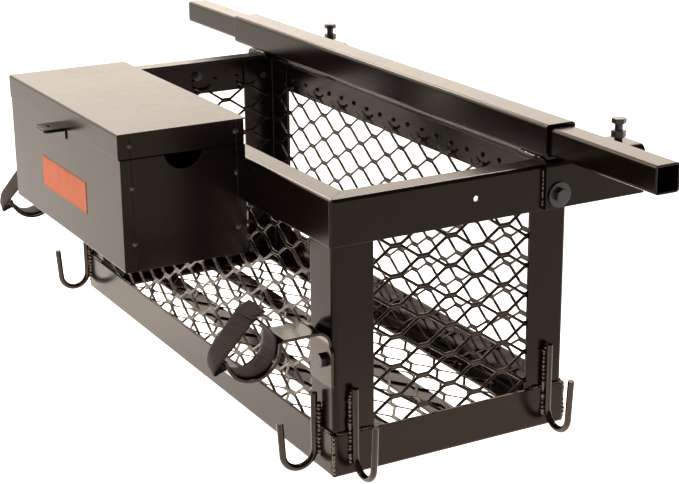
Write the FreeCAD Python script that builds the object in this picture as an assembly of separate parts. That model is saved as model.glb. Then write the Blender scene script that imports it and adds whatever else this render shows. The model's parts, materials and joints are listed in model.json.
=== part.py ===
"""Basket cargo carrier with a telescoping cross bar, two clamp brackets and a steel toolbox.

Millimetres, +Z up, +Y towards the vehicle, +X to the right seen from behind the load (front, -Y).
The origin is the centre of the basket's footprint, level with the undersides of the bottom rails.
"""
import FreeCAD, Part
import math
import os

V = FreeCAD.Vector

# Basket
BASKET_LENGTH = 928.0
BASKET_DEPTH = 390.0
BASKET_HEIGHT = 400.0
CORNER_RADIUS = 6.0
RAIL_SHEET = 4.0
RAIL_BEND_INSIDE = 1.0
TOP_RAIL_LEG = 66.0
BOTTOM_RAIL_LEG = 63.0
RAIL_FLANGE = 35.0
POST_LEG = 63.0
POST_SHEET = 5.0
POST_BEND_INSIDE = 2.0
FLOOR_BAR_WIDTH = 40.0
FLOOR_BAR_OFFSET = 58.0

# Expanded metal
MESH_LONG_PITCH = 88.7
MESH_SHORT_PITCH = 44.05
MESH_STRAND = 4.0
MESH_BOND_LENGTH = 18.0
MESH_BOND_HEIGHT = 7.5
MESH_SHEET = 3.0
MESH_EDGE_GAP = 2.0
MESH_TOP_LAP = 22.0
MESH_LONG_BOND = 14.0
MESH_END_BOND = -0.3
MESH_BOND_LEVEL = 98.0
MESH_FLOOR_BOND = (30.0, 8.0)

# Telescoping cross bar
SLEEVE_SIDE = 50.0
SLEEVE_WALL = 4.0
SLEEVE_BEND_INSIDE = 2.0
SLIDE_CLEARANCE = 1.0
TUBE_WALL = 3.0
TUBE_BEND_INSIDE = 2.0
TUBE_LENGTH = 480.0
TUBE_REACH_RIGHT = 230.0
TUBE_REACH_LEFT = 220.0
SLEEVE_PAST_RIGHT = 4.0
SLEEVE_PAST_LEFT = 64.0
SLEEVE_FRONT_FROM_REAR = 50.0

# Clamp brackets under the bar
BRACKET_SHEET = 8.0
BRACKET_BEND_INSIDE = 4.0
BRACKET_WIDTH = 76.0
BRACKET_LEG = 64.0
BRACKET_OVERHANG = 124.0
BRACKET_HOLE_FROM_REAR = 27.5
BRACKET_HOLE_BELOW_TOP = 44.0
SET_BOLT_FROM_BRACKET_END = 20.0
SET_BOLT_LENGTH = 45.0
SET_BOLT_TIP_BELOW_WEB = 10.4
JAM_NUT_LIFT = 6.0

# Fasteners
M12_RADIUS = 6.0
M12_FLATS = 19.0
M12_HEAD = 7.5
M12_NUT = 10.0
M8_RADIUS = 4.0
M8_FLATS = 13.0
M8_HEAD = 5.3
M8_NUT = 6.5
HOLE_CLEARANCE = 0.5
THREAD_CLEARANCE = 0.05
WIDE_WASHER_RADIUS = 18.5
WIDE_WASHER_SHEET = 3.0
SMALL_WASHER_RADIUS = 9.0
SMALL_WASHER_SHEET = 1.6
M8_LENGTH = 17.0
RAIL_HOLE_FROM_CENTRE = 33.5
RAIL_HOLE_BELOW_TOP = 32.0

# J-hooks
HOOK_ROD = 10.0
HOOK_RADIUS = 25.0
HOOK_FLOOR_GAP = 2.0
HOOK_FLARE = 4.0
END_HOOK_SHANK_TOP = 130.0
END_HOOK_TIP = 92.0
FRONT_HOOK_SHANK_TOP = 114.0
FRONT_HOOK_TIP = 80.0
END_HOOK_FROM_FRONT = 32.5
END_HOOK_FROM_REAR = 34.0
FRONT_HOOK_IN_RIGHT = 45.0
FRONT_HOOK_IN_LEFT = 6.0

# Handle cradles and their straps
CRADLE_WIDTH = 52.0
CRADLE_SHEET = 4.0
CRADLE_FROM_RIGHT_END = 34.0
CRADLE_FROM_LEFT_END = 30.0
CRADLE_PLATE_EXTRA = 8.0
CRADLE_PLATE_OFFSET = 1.0
CRADLE_PLATE_CORNER = 12.0
CRADLE_FOOT = 133.5
CRADLE_BRIDGE = 214.0
CRADLE_SHOULDER_BEND = 20.0
CRADLE_LIP_BEND = 7.0
CRADLE_REACH = 117.0
CRADLE_U_RADIUS = 40.0
CRADLE_ARM_END = 172.0
CRADLE_BOLT_HEIGHT = 168.0
CRADLE_BOLT_OFFSET = 8.0
SLOT_SIDE_WALL = 5.0
SLOT_LOW = -22.0
SLOT_HIGH = -12.0
STRAP_SIDE_GAP = 2.0
STRAP_THICKNESS = 2.5
STRAP_GAP = 0.6
STRAP_CROWN_AHEAD = 5.0
STRAP_CROWN_OVER_U = 11.0
STRAP_SHOULDER_INSIDE_U = (8.0, 6.0)
STRAP_TIP_PAST_ARM = 7.0
STRAP_TIP_BELOW_SLOT = 0.5
STRAP_TIP_FOLD = (-4.0, 6.0)

# Toolbox
BOX_LENGTH = 460.0
BOX_DEPTH = 193.0
BOX_HEIGHT = 200.0
BOX_TOP_OVER_BASKET = 58.0
BOX_CENTRE = -18.0
BOX_SHEET = 1.5
BOX_BEND_INSIDE = 1.5
BOX_END_SHEET = 2.0
LID_END_INSET = 1.5
LID_SKIRT = 36.0
LID_GAP = 1.0
LID_CLEARANCE = 0.5
BOX_RIM = 28.0
TAB_FRONT = 16.2
TAB_BACK = 13.2
TAB_SEAM = 0.6
BACKING_WIDTH = 24.0
NOTCH_RADIUS = 30.0
NOTCH_DEPTH = 23.0
RIVET_HEAD_RADIUS = 4.5
RIVET_HEAD = 1.8
RIVET_RADIUS = 2.0
BOX_RIVETS_OVER_BOTTOM = (123.0, 42.0)
LID_RIVET_OVER_SEAM = 19.0
HINGE_FROM_END = 20.0
HINGE_KNUCKLES = 9
HINGE_KNUCKLE_RADIUS = 3.0
HINGE_PIN_RADIUS = 1.5
HINGE_GAP = 0.5
HINGE_LEAF = 1.2
HINGE_LEAF_WIDTH = 24.0
HASP_WIDTH = 44.0
HASP_REACH = 31.0
HASP_SHEET = 2.0
HASP_CORNER = 6.0
HASP_FROM_BOX_CENTRE = -2.0
HASP_SLOT = (12.0, 5.0)
LABEL_SIZE = (185.0, 48.0)
LABEL_FROM_BOX_CENTRE = -2.5
LABEL_OVER_BOTTOM = 75.0
LABEL_SHEET = 0.6
MOUNT_BOLT_FROM_END = 80.0

# Places that follow from the sizes above
RIGHT = BASKET_LENGTH / 2
REAR = BASKET_DEPTH / 2
TOP = BASKET_HEIGHT
RAIL_BEND = RAIL_SHEET + RAIL_BEND_INSIDE
POST_BEND = POST_SHEET + POST_BEND_INSIDE
SLEEVE_BEND = SLEEVE_WALL + SLEEVE_BEND_INSIDE
TUBE_BEND = TUBE_WALL + TUBE_BEND_INSIDE
BRACKET_BEND = BRACKET_SHEET + BRACKET_BEND_INSIDE
BOX_BEND = BOX_SHEET + BOX_BEND_INSIDE
POST_OUT_X = RIGHT - RAIL_SHEET
POST_OUT_Y = REAR - RAIL_SHEET
MESH_OUT = RAIL_SHEET + POST_SHEET
WEB_TOP = TOP + BRACKET_SHEET
SLEEVE_FRONT = REAR - SLEEVE_FRONT_FROM_REAR
SLEEVE_Y = SLEEVE_FRONT + SLEEVE_SIDE / 2
SLEEVE_Z = WEB_TOP + SLEEVE_SIDE / 2
TUBE_SIDE = SLEEVE_SIDE - 2 * SLEEVE_WALL - 2 * SLIDE_CLEARANCE
BRACKET_OUT = RIGHT + BRACKET_SHEET
BRACKET_X = BRACKET_OUT - BRACKET_WIDTH / 2
BRACKET_END = REAR + BRACKET_OVERHANG
SET_BOLT_Y = BRACKET_END - SET_BOLT_FROM_BRACKET_END
CRADLE_X = RIGHT - CRADLE_FROM_RIGHT_END
CRADLE_SPACING = CRADLE_X + RIGHT - CRADLE_FROM_LEFT_END
CRADLE_PLATE_WIDTH = CRADLE_WIDTH + CRADLE_PLATE_EXTRA
SLOT_LENGTH = CRADLE_WIDTH - 2 * SLOT_SIDE_WALL
STRAP_WIDTH = SLOT_LENGTH - 2 * STRAP_SIDE_GAP
STRAP_CROWN = (STRAP_CROWN_AHEAD, CRADLE_U_RADIUS + STRAP_CROWN_OVER_U)
STRAP_SHOULDER = (CRADLE_U_RADIUS - STRAP_SHOULDER_INSIDE_U[0], CRADLE_U_RADIUS - STRAP_SHOULDER_INSIDE_U[1])
STRAP_TIP = (-CRADLE_U_RADIUS - CRADLE_SHEET - STRAP_TIP_PAST_ARM, SLOT_LOW - STRAP_TIP_BELOW_SLOT)
BOX_BACK = -REAR
BOX_FRONT = BOX_BACK - BOX_DEPTH
BOX_TOP = TOP + BOX_TOP_OVER_BASKET
BOX_BOTTOM = BOX_TOP - BOX_HEIGHT
BOX_LEFT = BOX_CENTRE - BOX_LENGTH / 2
BOX_RIGHT = BOX_CENTRE + BOX_LENGTH / 2
SEAM = BOX_TOP - LID_SKIRT
BODY_FRONT = BOX_FRONT + BOX_SHEET + LID_CLEARANCE
BOX_FRONT_SEAM = BODY_FRONT + TAB_FRONT
BOX_BACK_SEAM = BOX_BACK - TAB_BACK
LID_RIGHT = BOX_RIGHT - LID_END_INSET
LID_LEFT = BOX_LEFT + LID_END_INSET
HINGE_LENGTH = BOX_LENGTH - 2 * HINGE_FROM_END
MOUNT_BOLT_SPACING = BOX_LENGTH - 2 * MOUNT_BOLT_FROM_END
HASP_CENTRE = BOX_CENTRE + HASP_FROM_BOX_CENTRE
LABEL_CENTRE = (BOX_CENTRE + LABEL_FROM_BOX_CENTRE, BOX_BOTTOM + LABEL_OVER_BOTTOM)
BOX_RIVET_HEIGHTS = [BOX_BOTTOM + rise for rise in BOX_RIVETS_OVER_BOTTOM]
LID_RIVET_HEIGHT = SEAM + LID_RIVET_OVER_SEAM
HINGE_Z = BOX_TOP - BOX_SHEET - HINGE_GAP - HINGE_KNUCKLE_RADIUS
HINGE_Y = BOX_BACK + HINGE_LEAF / 2 + HINGE_KNUCKLE_RADIUS


def box(x0, x1, y0, y1, z0, z1):
    """A block between two corners."""
    return Part.makeBox(x1 - x0, y1 - y0, z1 - z0, V(x0, y0, z0))


def rod(start, end, radius):
    """A round bar from one point to another."""
    return Part.makeCylinder(radius, (end - start).Length, start, end - start)


def prism(points, travel):
    """A flat outline pushed along a vector."""
    wire = Part.makePolygon(list(points) + [points[0]])
    return Part.Face(wire).extrude(travel)


def ring(centre, axis, outer, inner, thickness):
    """A flat washer that starts at centre and grows along axis."""
    disc = Part.makeCylinder(outer, thickness, centre, axis)
    return disc.cut(Part.makeCylinder(inner, thickness, centre, axis))


def hexagon(centre, axis, flats, height):
    """A hexagonal bolt head or nut blank, chamfered a little on its far face."""
    corner = flats / math.sqrt(3)
    side = V(0, 0, 1) if abs(axis.z) < 0.5 else V(1, 0, 0)
    other = axis.cross(side)
    points = []
    for step in range(6):
        turn = math.radians(60 * step)
        points.append(centre + side * (corner * math.cos(turn)) + other * (corner * math.sin(turn)))
    blank = prism(points, axis * height)
    cone_base = flats / 2 + height * 2.2
    cone = Part.makeCone(cone_base, cone_base - height * 2.2, height, centre, axis)
    return blank.common(cone)


def headed_bolt(seat, axis, length, radius, flats, head):
    """A hex bolt: its head stands on seat along axis, and its shank runs the other way."""
    shank = rod(seat, seat - axis * length, radius)
    return hexagon(seat, axis, flats, head).fuse(shank).removeSplitter()


def nut(seat, axis, flats, height, bore):
    """A hex nut that stands on seat along axis."""
    return hexagon(seat, axis, flats, height).cut(rod(seat, seat + axis * height, bore))


def move(shape, x=0.0, y=0.0, z=0.0):
    """A shifted copy."""
    copy = shape.copy()
    copy.translate(V(x, y, z))
    return copy


def mirror_x(shape):
    """The left-hand copy of a right-hand piece."""
    return shape.mirror(V(0, 0, 0), V(1, 0, 0))


def mirror_y(shape):
    """The rear copy of a front piece."""
    return shape.mirror(V(0, 0, 0), V(0, 1, 0))


def bent_angle(leg, flange, sheet, bend, length):
    """A folded angle along +X: the leg stands on the outer face y=0, the flange runs to +y at z=0."""
    inner = bend - sheet
    cos = math.cos(math.pi / 4)
    outline = [
        Part.LineSegment(V(0, 0, leg), V(0, 0, bend)),
        Part.Arc(V(0, 0, bend), V(0, bend - bend * cos, bend - bend * cos), V(0, bend, 0)),
        Part.LineSegment(V(0, bend, 0), V(0, flange, 0)),
        Part.LineSegment(V(0, flange, 0), V(0, flange, sheet)),
        Part.LineSegment(V(0, flange, sheet), V(0, bend, sheet)),
        Part.Arc(V(0, bend, sheet), V(0, bend - inner * cos, bend - inner * cos), V(0, sheet, bend)),
        Part.LineSegment(V(0, sheet, bend), V(0, sheet, leg)),
        Part.LineSegment(V(0, sheet, leg), V(0, 0, leg)),
    ]
    wire = Part.Wire([edge.toShape() for edge in outline])
    return Part.Face(wire).extrude(V(length, 0, 0))


def rounded_footprint(height):
    """The basket's plan outline with its rounded corners, as a block to trim the rails with."""
    plan = box(-RIGHT, RIGHT, -REAR, REAR, 0, height)
    uprights = [edge for edge in plan.Edges if edge.Length == height and edge.BoundBox.ZLength > 1]
    return plan.makeFillet(CORNER_RADIUS, uprights)


def mitred_rail(half_run, half_span, leg):
    """A bottom rail on the side y=-half_span, cut at 45 degrees where it meets its neighbours."""
    angle = bent_angle(leg, RAIL_FLANGE, RAIL_SHEET, RAIL_BEND, 2 * half_run)
    angle.translate(V(-half_run, -half_span, 0))
    deep = RAIL_FLANGE + 1
    plan = [
        V(-half_run, -half_span, -1),
        V(half_run, -half_span, -1),
        V(half_run - deep, deep - half_span, -1),
        V(deep - half_run, deep - half_span, -1),
    ]
    return angle.common(prism(plan, V(0, 0, leg + 2)))


def basket_rails():
    """Four bottom rails and four top rails, mitred into two frames."""
    parts = {}
    trim = rounded_footprint(TOP)
    quarter = V(0, 0, 1)
    for level, leg in (("bottom", BOTTOM_RAIL_LEG), ("top", TOP_RAIL_LEG)):
        front = mitred_rail(RIGHT, REAR, leg)
        end = mitred_rail(REAR, RIGHT, leg)
        end.rotate(V(0, 0, 0), quarter, 90)
        sides = {"front": front, "rear": mirror_y(front), "right": end, "left": mirror_x(end)}
        for side, rail in sides.items():
            if level == "top":
                rail = rail.mirror(V(0, 0, TOP / 2), V(0, 0, 1))
            parts[f"{level}_rail_{side}"] = rail.common(trim)
    return parts


def corner_posts():
    """Four angle posts nested inside the rails' corners."""
    gap = RAIL_BEND - RAIL_SHEET
    length = TOP - 2 * RAIL_SHEET - 2 * gap
    angle = bent_angle(POST_LEG, POST_LEG, POST_SHEET, POST_BEND, length)
    angle.rotate(V(0, 0, 0), V(0, 1, 0), -90)
    bounds = angle.BoundBox
    angle.translate(V(-bounds.XMin - POST_LEG, -bounds.YMin, -bounds.ZMin))
    near = angle if angle.CenterOfMass.x > -POST_LEG / 2 else mirror_x(move(angle, x=POST_LEG))
    near = move(near, POST_OUT_X, -POST_OUT_Y, RAIL_SHEET + gap)
    return {
        "post_front_right": near,
        "post_front_left": mirror_x(near),
        "post_rear_right": mirror_y(near),
        "post_rear_left": mirror_x(mirror_y(near)),
    }


def floor_bars():
    """Two flat bars that carry the floor mesh, butted between the end rails' flanges."""
    reach = RIGHT - RAIL_FLANGE
    half = FLOOR_BAR_WIDTH / 2
    front = box(-reach, reach, -FLOOR_BAR_OFFSET - half, half - FLOOR_BAR_OFFSET, 0, RAIL_SHEET)
    return {"floor_bar_front": front, "floor_bar_rear": mirror_y(front)}


def mesh_hole(u, v):
    """The outline of one hexagonal opening in the expanded metal, about its centre."""
    half_high = (MESH_SHORT_PITCH - MESH_BOND_HEIGHT) / 2
    flat = MESH_BOND_LENGTH / 2
    slant = MESH_LONG_PITCH / 2 - MESH_BOND_LENGTH
    run = math.hypot(slant, half_high)
    spare = (MESH_STRAND * run - slant * MESH_BOND_HEIGHT / 2) / half_high
    tip = MESH_LONG_PITCH / 2 - flat - max(spare, 0)
    points = [
        (flat, half_high), (tip, 0), (flat, -half_high),
        (-flat, -half_high), (-tip, 0), (-flat, half_high),
    ]
    return [V(u + a, v + b, 0) for a, b in points]


def expanded_sheet(width, height, bond_u, bond_v):
    """A flat sheet of expanded metal, centred on u and rising from v=0, with one bond at the given place."""
    sheet = Part.Face(Part.makePolygon([
        V(-width / 2, 0, 0), V(width / 2, 0, 0), V(width / 2, height, 0), V(-width / 2, height, 0),
        V(-width / 2, 0, 0),
    ]))
    holes = []
    columns = int(width / MESH_LONG_PITCH) + 2
    rows = int(height / MESH_SHORT_PITCH) + 2
    for column in range(-2 * columns, 2 * columns + 1):
        for row in range(-2 * rows, 2 * rows + 1):
            if (column + row) % 2 == 0:
                continue
            u = bond_u + column * MESH_LONG_PITCH / 2
            v = bond_v + row * MESH_SHORT_PITCH / 2
            inside = abs(u) < width / 2 + MESH_LONG_PITCH / 2
            if inside and -MESH_SHORT_PITCH / 2 < v < height + MESH_SHORT_PITCH / 2:
                outline = mesh_hole(u, v)
                holes.append(Part.Face(Part.makePolygon(outline + [outline[0]])))
    pierced = sheet.cut(holes)
    solid = pierced.extrude(V(0, 0, MESH_SHEET))
    return max(solid.Solids, key=lambda piece: piece.Volume)


def mesh_panels():
    """Five panels of expanded metal, welded to the inner faces of the posts and to the floor."""
    floor_top = RAIL_SHEET + MESH_SHEET
    low = floor_top + MESH_EDGE_GAP
    high = TOP - TOP_RAIL_LEG + MESH_TOP_LAP
    corner = MESH_OUT + MESH_SHEET + MESH_EDGE_GAP
    long_width = BASKET_LENGTH - 2 * (corner - 1)
    end_width = BASKET_DEPTH - 2 * corner
    rise = high - low

    front = expanded_sheet(long_width, rise, MESH_LONG_BOND, MESH_BOND_LEVEL - low)
    front.rotate(V(0, 0, 0), V(1, 0, 0), 90)
    rear = front.copy()
    front.translate(V(0, MESH_OUT + MESH_SHEET - REAR, low))
    rear.translate(V(0, REAR - MESH_OUT, low))

    right = expanded_sheet(end_width, rise, MESH_END_BOND, MESH_BOND_LEVEL - low)
    right.rotate(V(0, 0, 0), V(1, 0, 0), 90)
    right.rotate(V(0, 0, 0), V(0, 0, 1), 90)
    left = right.copy()
    right.translate(V(RIGHT - MESH_OUT - MESH_SHEET, 0, low))
    left.translate(V(MESH_OUT - RIGHT, 0, low))

    margin = MESH_OUT + MESH_EDGE_GAP
    floor = expanded_sheet(BASKET_LENGTH - 2 * margin, BASKET_DEPTH - 2 * margin, *MESH_FLOOR_BOND)
    floor.translate(V(0, margin - REAR, RAIL_SHEET))
    return {
        "mesh_front": front, "mesh_rear": rear, "mesh_right": right, "mesh_left": left, "mesh_floor": floor,
    }


def square_tube(x0, x1, side, wall, bend):
    """A square tube along X, centred on the cross bar's axis."""
    outer = box(x0, x1, SLEEVE_Y - side / 2, SLEEVE_Y + side / 2, SLEEVE_Z - side / 2, SLEEVE_Z + side / 2)
    long_edges = [edge for edge in outer.Edges if edge.BoundBox.XLength > (x1 - x0) / 2]
    outer = outer.makeFillet(bend, long_edges)
    bore = side / 2 - wall
    inner = box(x0, x1, SLEEVE_Y - bore, SLEEVE_Y + bore, SLEEVE_Z - bore, SLEEVE_Z + bore)
    long_edges = [edge for edge in inner.Edges if edge.BoundBox.XLength > (x1 - x0) / 2]
    return outer.cut(inner.makeFillet(bend - wall, long_edges))


def cross_bar():
    """The fixed sleeve and the two tubes that slide out of its ends."""
    right_end = RIGHT + SLEEVE_PAST_RIGHT
    left_end = -RIGHT - SLEEVE_PAST_LEFT
    right_tip = right_end + TUBE_REACH_RIGHT
    left_tip = left_end - TUBE_REACH_LEFT
    return {
        "bar_sleeve": square_tube(left_end, right_end, SLEEVE_SIDE, SLEEVE_WALL, SLEEVE_BEND),
        "bar_tube_right": square_tube(right_tip - TUBE_LENGTH, right_tip, TUBE_SIDE, TUBE_WALL, TUBE_BEND),
        "bar_tube_left": square_tube(left_tip, left_tip + TUBE_LENGTH, TUBE_SIDE, TUBE_WALL, TUBE_BEND),
    }


def clamp_bracket():
    """The right-hand bracket: a channel, open downwards, that laps the basket's corner with its outer leg."""
    x0, x1 = BRACKET_OUT - BRACKET_WIDTH, BRACKET_OUT
    low = TOP - BRACKET_LEG
    block = box(x0, x1, SLEEVE_FRONT, BRACKET_END, low, WEB_TOP)
    crown = [e for e in block.Edges if e.BoundBox.YLength > 1 and e.BoundBox.ZMin > TOP]
    block = block.makeFillet(BRACKET_BEND, crown)
    hollow = box(x0 + BRACKET_SHEET, x1 - BRACKET_SHEET, SLEEVE_FRONT, BRACKET_END, low, TOP)
    roof = [e for e in hollow.Edges if e.BoundBox.YLength > 1 and e.BoundBox.ZMin > TOP - 1]
    hollow = hollow.makeFillet(BRACKET_BEND - BRACKET_SHEET, roof)
    channel = block.cut(hollow)
    lap = box(x0 - 1, RIGHT, SLEEVE_FRONT - 1, REAR, low - 1, TOP)
    channel = channel.cut(lap)
    hole_y, hole_z = REAR - BRACKET_HOLE_FROM_REAR, TOP - BRACKET_HOLE_BELOW_TOP
    cross_hole = rod(V(RIGHT - 1, hole_y, hole_z), V(x1 + 1, hole_y, hole_z), M12_RADIUS + HOLE_CLEARANCE)
    set_hole = rod(V(BRACKET_X, SET_BOLT_Y, TOP - 1), V(BRACKET_X, SET_BOLT_Y, WEB_TOP + 1),
                   M12_RADIUS + THREAD_CLEARANCE)
    return channel.cut([cross_hole, set_hole])


def clamp_brackets(parts):
    """Both brackets with their cross bolts, set bolts, jam nuts and weld nuts."""
    right = clamp_bracket()
    x_axis, up, down = V(1, 0, 0), V(0, 0, 1), V(0, 0, -1)
    hole_y, hole_z = REAR - BRACKET_HOLE_FROM_REAR, TOP - BRACKET_HOLE_BELOW_TOP
    face = V(BRACKET_OUT, hole_y, hole_z)
    washer = ring(face, x_axis, WIDE_WASHER_RADIUS, M12_RADIUS + HOLE_CLEARANCE, WIDE_WASHER_SHEET)
    seat = face + x_axis * WIDE_WASHER_SHEET
    grip = WIDE_WASHER_SHEET + BRACKET_SHEET + RAIL_SHEET + POST_SHEET - THREAD_CLEARANCE
    bolt = headed_bolt(seat, x_axis, grip, M12_RADIUS, M12_FLATS, M12_HEAD)

    through = rod(V(RIGHT - 40, hole_y, hole_z), V(RIGHT + 1, hole_y, hole_z), M12_RADIUS + THREAD_CLEARANCE)
    for level_name, flip in (("right", None), ("left", mirror_x)):
        cutter = through if flip is None else flip(through)
        for node in (f"top_rail_{level_name}", f"post_rear_{level_name}"):
            parts[node] = parts[node].cut(cutter)

    web = V(BRACKET_X, SET_BOLT_Y, WEB_TOP)
    bolt_seat = V(BRACKET_X, SET_BOLT_Y, TOP - SET_BOLT_TIP_BELOW_WEB + SET_BOLT_LENGTH)
    set_bolt = headed_bolt(bolt_seat, up, SET_BOLT_LENGTH, M12_RADIUS, M12_FLATS, M12_HEAD)
    jam_nut = nut(web + up * JAM_NUT_LIFT, up, M12_FLATS, M12_NUT, M12_RADIUS)
    weld_nut = nut(V(BRACKET_X, SET_BOLT_Y, TOP), down, M12_FLATS, M12_NUT, M12_RADIUS + THREAD_CLEARANCE)

    pieces = {}
    for side, flip in (("right", lambda s: s), ("left", mirror_x)):
        pieces[f"bracket_{side}"] = flip(right)
        pieces[f"set_bolt_{side}"] = flip(set_bolt)
        pieces[f"jam_nut_{side}"] = flip(jam_nut)
    pieces["bracket_bolts"] = Part.Compound([bolt, mirror_x(bolt)])
    pieces["bracket_washers"] = Part.Compound([washer, mirror_x(washer)])
    pieces["bracket_weld_nuts"] = Part.Compound([weld_nut, mirror_x(weld_nut)])
    return pieces


def rail_bolt(parts):
    """A hole through each end's top rail, and the bolt that fills the left one."""
    y, z = RAIL_HOLE_FROM_CENTRE, TOP - RAIL_HOLE_BELOW_TOP
    hole = rod(V(RIGHT - RAIL_SHEET - 1, y, z), V(RIGHT + 1, y, z), M8_RADIUS + HOLE_CLEARANCE)
    parts["top_rail_right"] = parts["top_rail_right"].cut(hole)
    parts["top_rail_left"] = parts["top_rail_left"].cut(mirror_x(hole))
    inward, outward = V(1, 0, 0), V(-1, 0, 0)
    outer, inner = V(-RIGHT, y, z), V(RAIL_SHEET - RIGHT, y, z)
    washers = [
        ring(outer, outward, SMALL_WASHER_RADIUS, M8_RADIUS + HOLE_CLEARANCE, SMALL_WASHER_SHEET),
        ring(inner, inward, SMALL_WASHER_RADIUS, M8_RADIUS + HOLE_CLEARANCE, SMALL_WASHER_SHEET),
    ]
    bolt = headed_bolt(outer + outward * SMALL_WASHER_SHEET, outward, M8_LENGTH, M8_RADIUS, M8_FLATS, M8_HEAD)
    rail_nut = nut(inner + inward * SMALL_WASHER_SHEET, inward, M8_FLATS, M8_NUT, M8_RADIUS)
    return bolt, washers, rail_nut


def j_hook(shank_top, tip_height):
    """A J-hook bent from round rod. Its shank's back is on x=0 and it opens upwards, towards +x."""
    half = HOOK_ROD / 2
    low = HOOK_FLOOR_GAP + half
    centre = V(half + HOOK_RADIUS, 0, low + HOOK_RADIUS)
    flare = math.radians(HOOK_FLARE)
    bend_end = centre + V(math.cos(flare), 0, -math.sin(flare)) * HOOK_RADIUS
    mid_turn = (math.pi - flare) / 2
    bend_mid = centre + V(-math.cos(mid_turn), 0, -math.sin(mid_turn)) * HOOK_RADIUS
    start = V(half, 0, shank_top)
    bend_start = V(half, 0, centre.z)
    rise = (tip_height - bend_end.z) / math.cos(flare)
    tip = bend_end + V(math.sin(flare), 0, math.cos(flare)) * rise
    path = Part.Wire([
        Part.LineSegment(start, bend_start).toShape(),
        Part.Arc(bend_start, bend_mid, bend_end).toShape(),
        Part.LineSegment(bend_end, tip).toShape(),
    ])
    section = Part.Wire([Part.Circle(start, V(0, 0, 1), half).toShape()])
    return path.makePipeShell([section], True, False)


def j_hooks():
    """Six J-hooks: two on each end face and two on the front face."""
    end_hook = j_hook(END_HOOK_SHANK_TOP, END_HOOK_TIP)
    front_hook = j_hook(FRONT_HOOK_SHANK_TOP, FRONT_HOOK_TIP)
    front_hook.rotate(V(0, 0, 0), V(0, 0, 1), -90)
    right_rear = move(end_hook, RIGHT, REAR - END_HOOK_FROM_REAR)
    right_front = move(end_hook, RIGHT, END_HOOK_FROM_FRONT - REAR)
    return {
        "hook_right_rear": right_rear,
        "hook_right_front": right_front,
        "hook_left_rear": mirror_x(right_rear),
        "hook_left_front": mirror_x(right_front),
        "hook_front_right": move(front_hook, RIGHT - FRONT_HOOK_IN_RIGHT, -REAR),
        "hook_front_left": move(front_hook, FRONT_HOOK_IN_LEFT - RIGHT, -REAR),
    }


def arc(centre, radius, start, middle, end):
    """An arc in the Y-Z plane through three angles in degrees, measured from +Y."""
    points = []
    for turn in (start, middle, end):
        angle = math.radians(turn)
        points.append(centre + V(0, radius * math.cos(angle), radius * math.sin(angle)))
    return Part.Arc(*points)


def cradle_middle():
    """The place of the cradle's U: its centre in the Y-Z plane."""
    return V(0, -POST_OUT_Y - CRADLE_REACH, CRADLE_BRIDGE - CRADLE_LIP_BEND)


def cradle_outline(offset):
    """One long side of the cradle strip in the Y-Z plane, at a distance from the strip's middle."""
    centre = cradle_middle()
    plate_y = -POST_OUT_Y - CRADLE_SHEET / 2
    shoulder = V(0, plate_y - CRADLE_SHOULDER_BEND, CRADLE_BRIDGE - CRADLE_SHOULDER_BEND)
    lip = V(0, centre.y + CRADLE_U_RADIUS + CRADLE_LIP_BEND, centre.z)
    bowl = CRADLE_U_RADIUS - offset
    outer_bend = arc(shoulder, CRADLE_SHOULDER_BEND + offset, 0, 45, 90)
    lip_bend = arc(lip, CRADLE_LIP_BEND + offset, 90, 135, 180)
    u_bend = arc(centre, bowl, 0, -CRADLE_ARM_END / 2, -CRADLE_ARM_END)
    foot = V(0, plate_y + offset, CRADLE_FOOT)
    return [
        Part.LineSegment(foot, outer_bend.StartPoint),
        outer_bend,
        Part.LineSegment(outer_bend.EndPoint, lip_bend.StartPoint),
        lip_bend,
        u_bend,
    ]


def cradle_plate():
    """The flat foot of the cradle, a little wider than the strip, with rounded upper corners."""
    middle = CRADLE_X + CRADLE_PLATE_OFFSET
    half = CRADLE_PLATE_WIDTH / 2
    top = CRADLE_BRIDGE - CRADLE_SHOULDER_BEND
    plate = box(middle - half, middle + half, -POST_OUT_Y - CRADLE_SHEET, -POST_OUT_Y, CRADLE_FOOT, top)
    corners = [e for e in plate.Edges if e.BoundBox.YLength > 1 and e.BoundBox.ZMin > top - 1]
    return plate.makeFillet(CRADLE_PLATE_CORNER, corners)


def cradle():
    """The right-hand cradle: a strip bolted to the post, bridged outwards and bowed into a U."""
    half = CRADLE_SHEET / 2
    top_side = cradle_outline(half)
    under_side = cradle_outline(-half)
    close_foot = Part.LineSegment(under_side[0].StartPoint, top_side[0].StartPoint)
    close_tip = Part.LineSegment(top_side[-1].EndPoint, under_side[-1].EndPoint)
    shapes = [e.toShape() for e in top_side + [close_tip] + under_side + [close_foot]]
    wire = Part.Wire(Part.__sortEdges__(shapes))
    strip = Part.Face(wire).extrude(V(CRADLE_WIDTH, 0, 0))
    strip.translate(V(CRADLE_X - CRADLE_WIDTH / 2, 0, 0))
    strip = strip.fuse(cradle_plate()).removeSplitter()
    centre = cradle_middle()
    half_slot = SLOT_LENGTH / 2
    reach = CRADLE_U_RADIUS + CRADLE_SHEET
    window = box(CRADLE_X - half_slot, CRADLE_X + half_slot, centre.y - reach, centre.y + reach,
                 centre.z + SLOT_LOW, centre.z + SLOT_HIGH)
    hollow = box(CRADLE_X - half_slot, CRADLE_X + half_slot, centre.y - CRADLE_U_RADIUS / 2,
                 centre.y + CRADLE_U_RADIUS / 2, centre.z + SLOT_LOW, centre.z + SLOT_HIGH)
    slots = window.cut(hollow).Solids
    start = V(CRADLE_X + CRADLE_BOLT_OFFSET, -POST_OUT_Y - 10, CRADLE_BOLT_HEIGHT)
    bolt_hole = rod(start, start + V(0, 12, 0), M12_RADIUS + HOLE_CLEARANCE)
    return strip.cut(slots + [bolt_hole])


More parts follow.
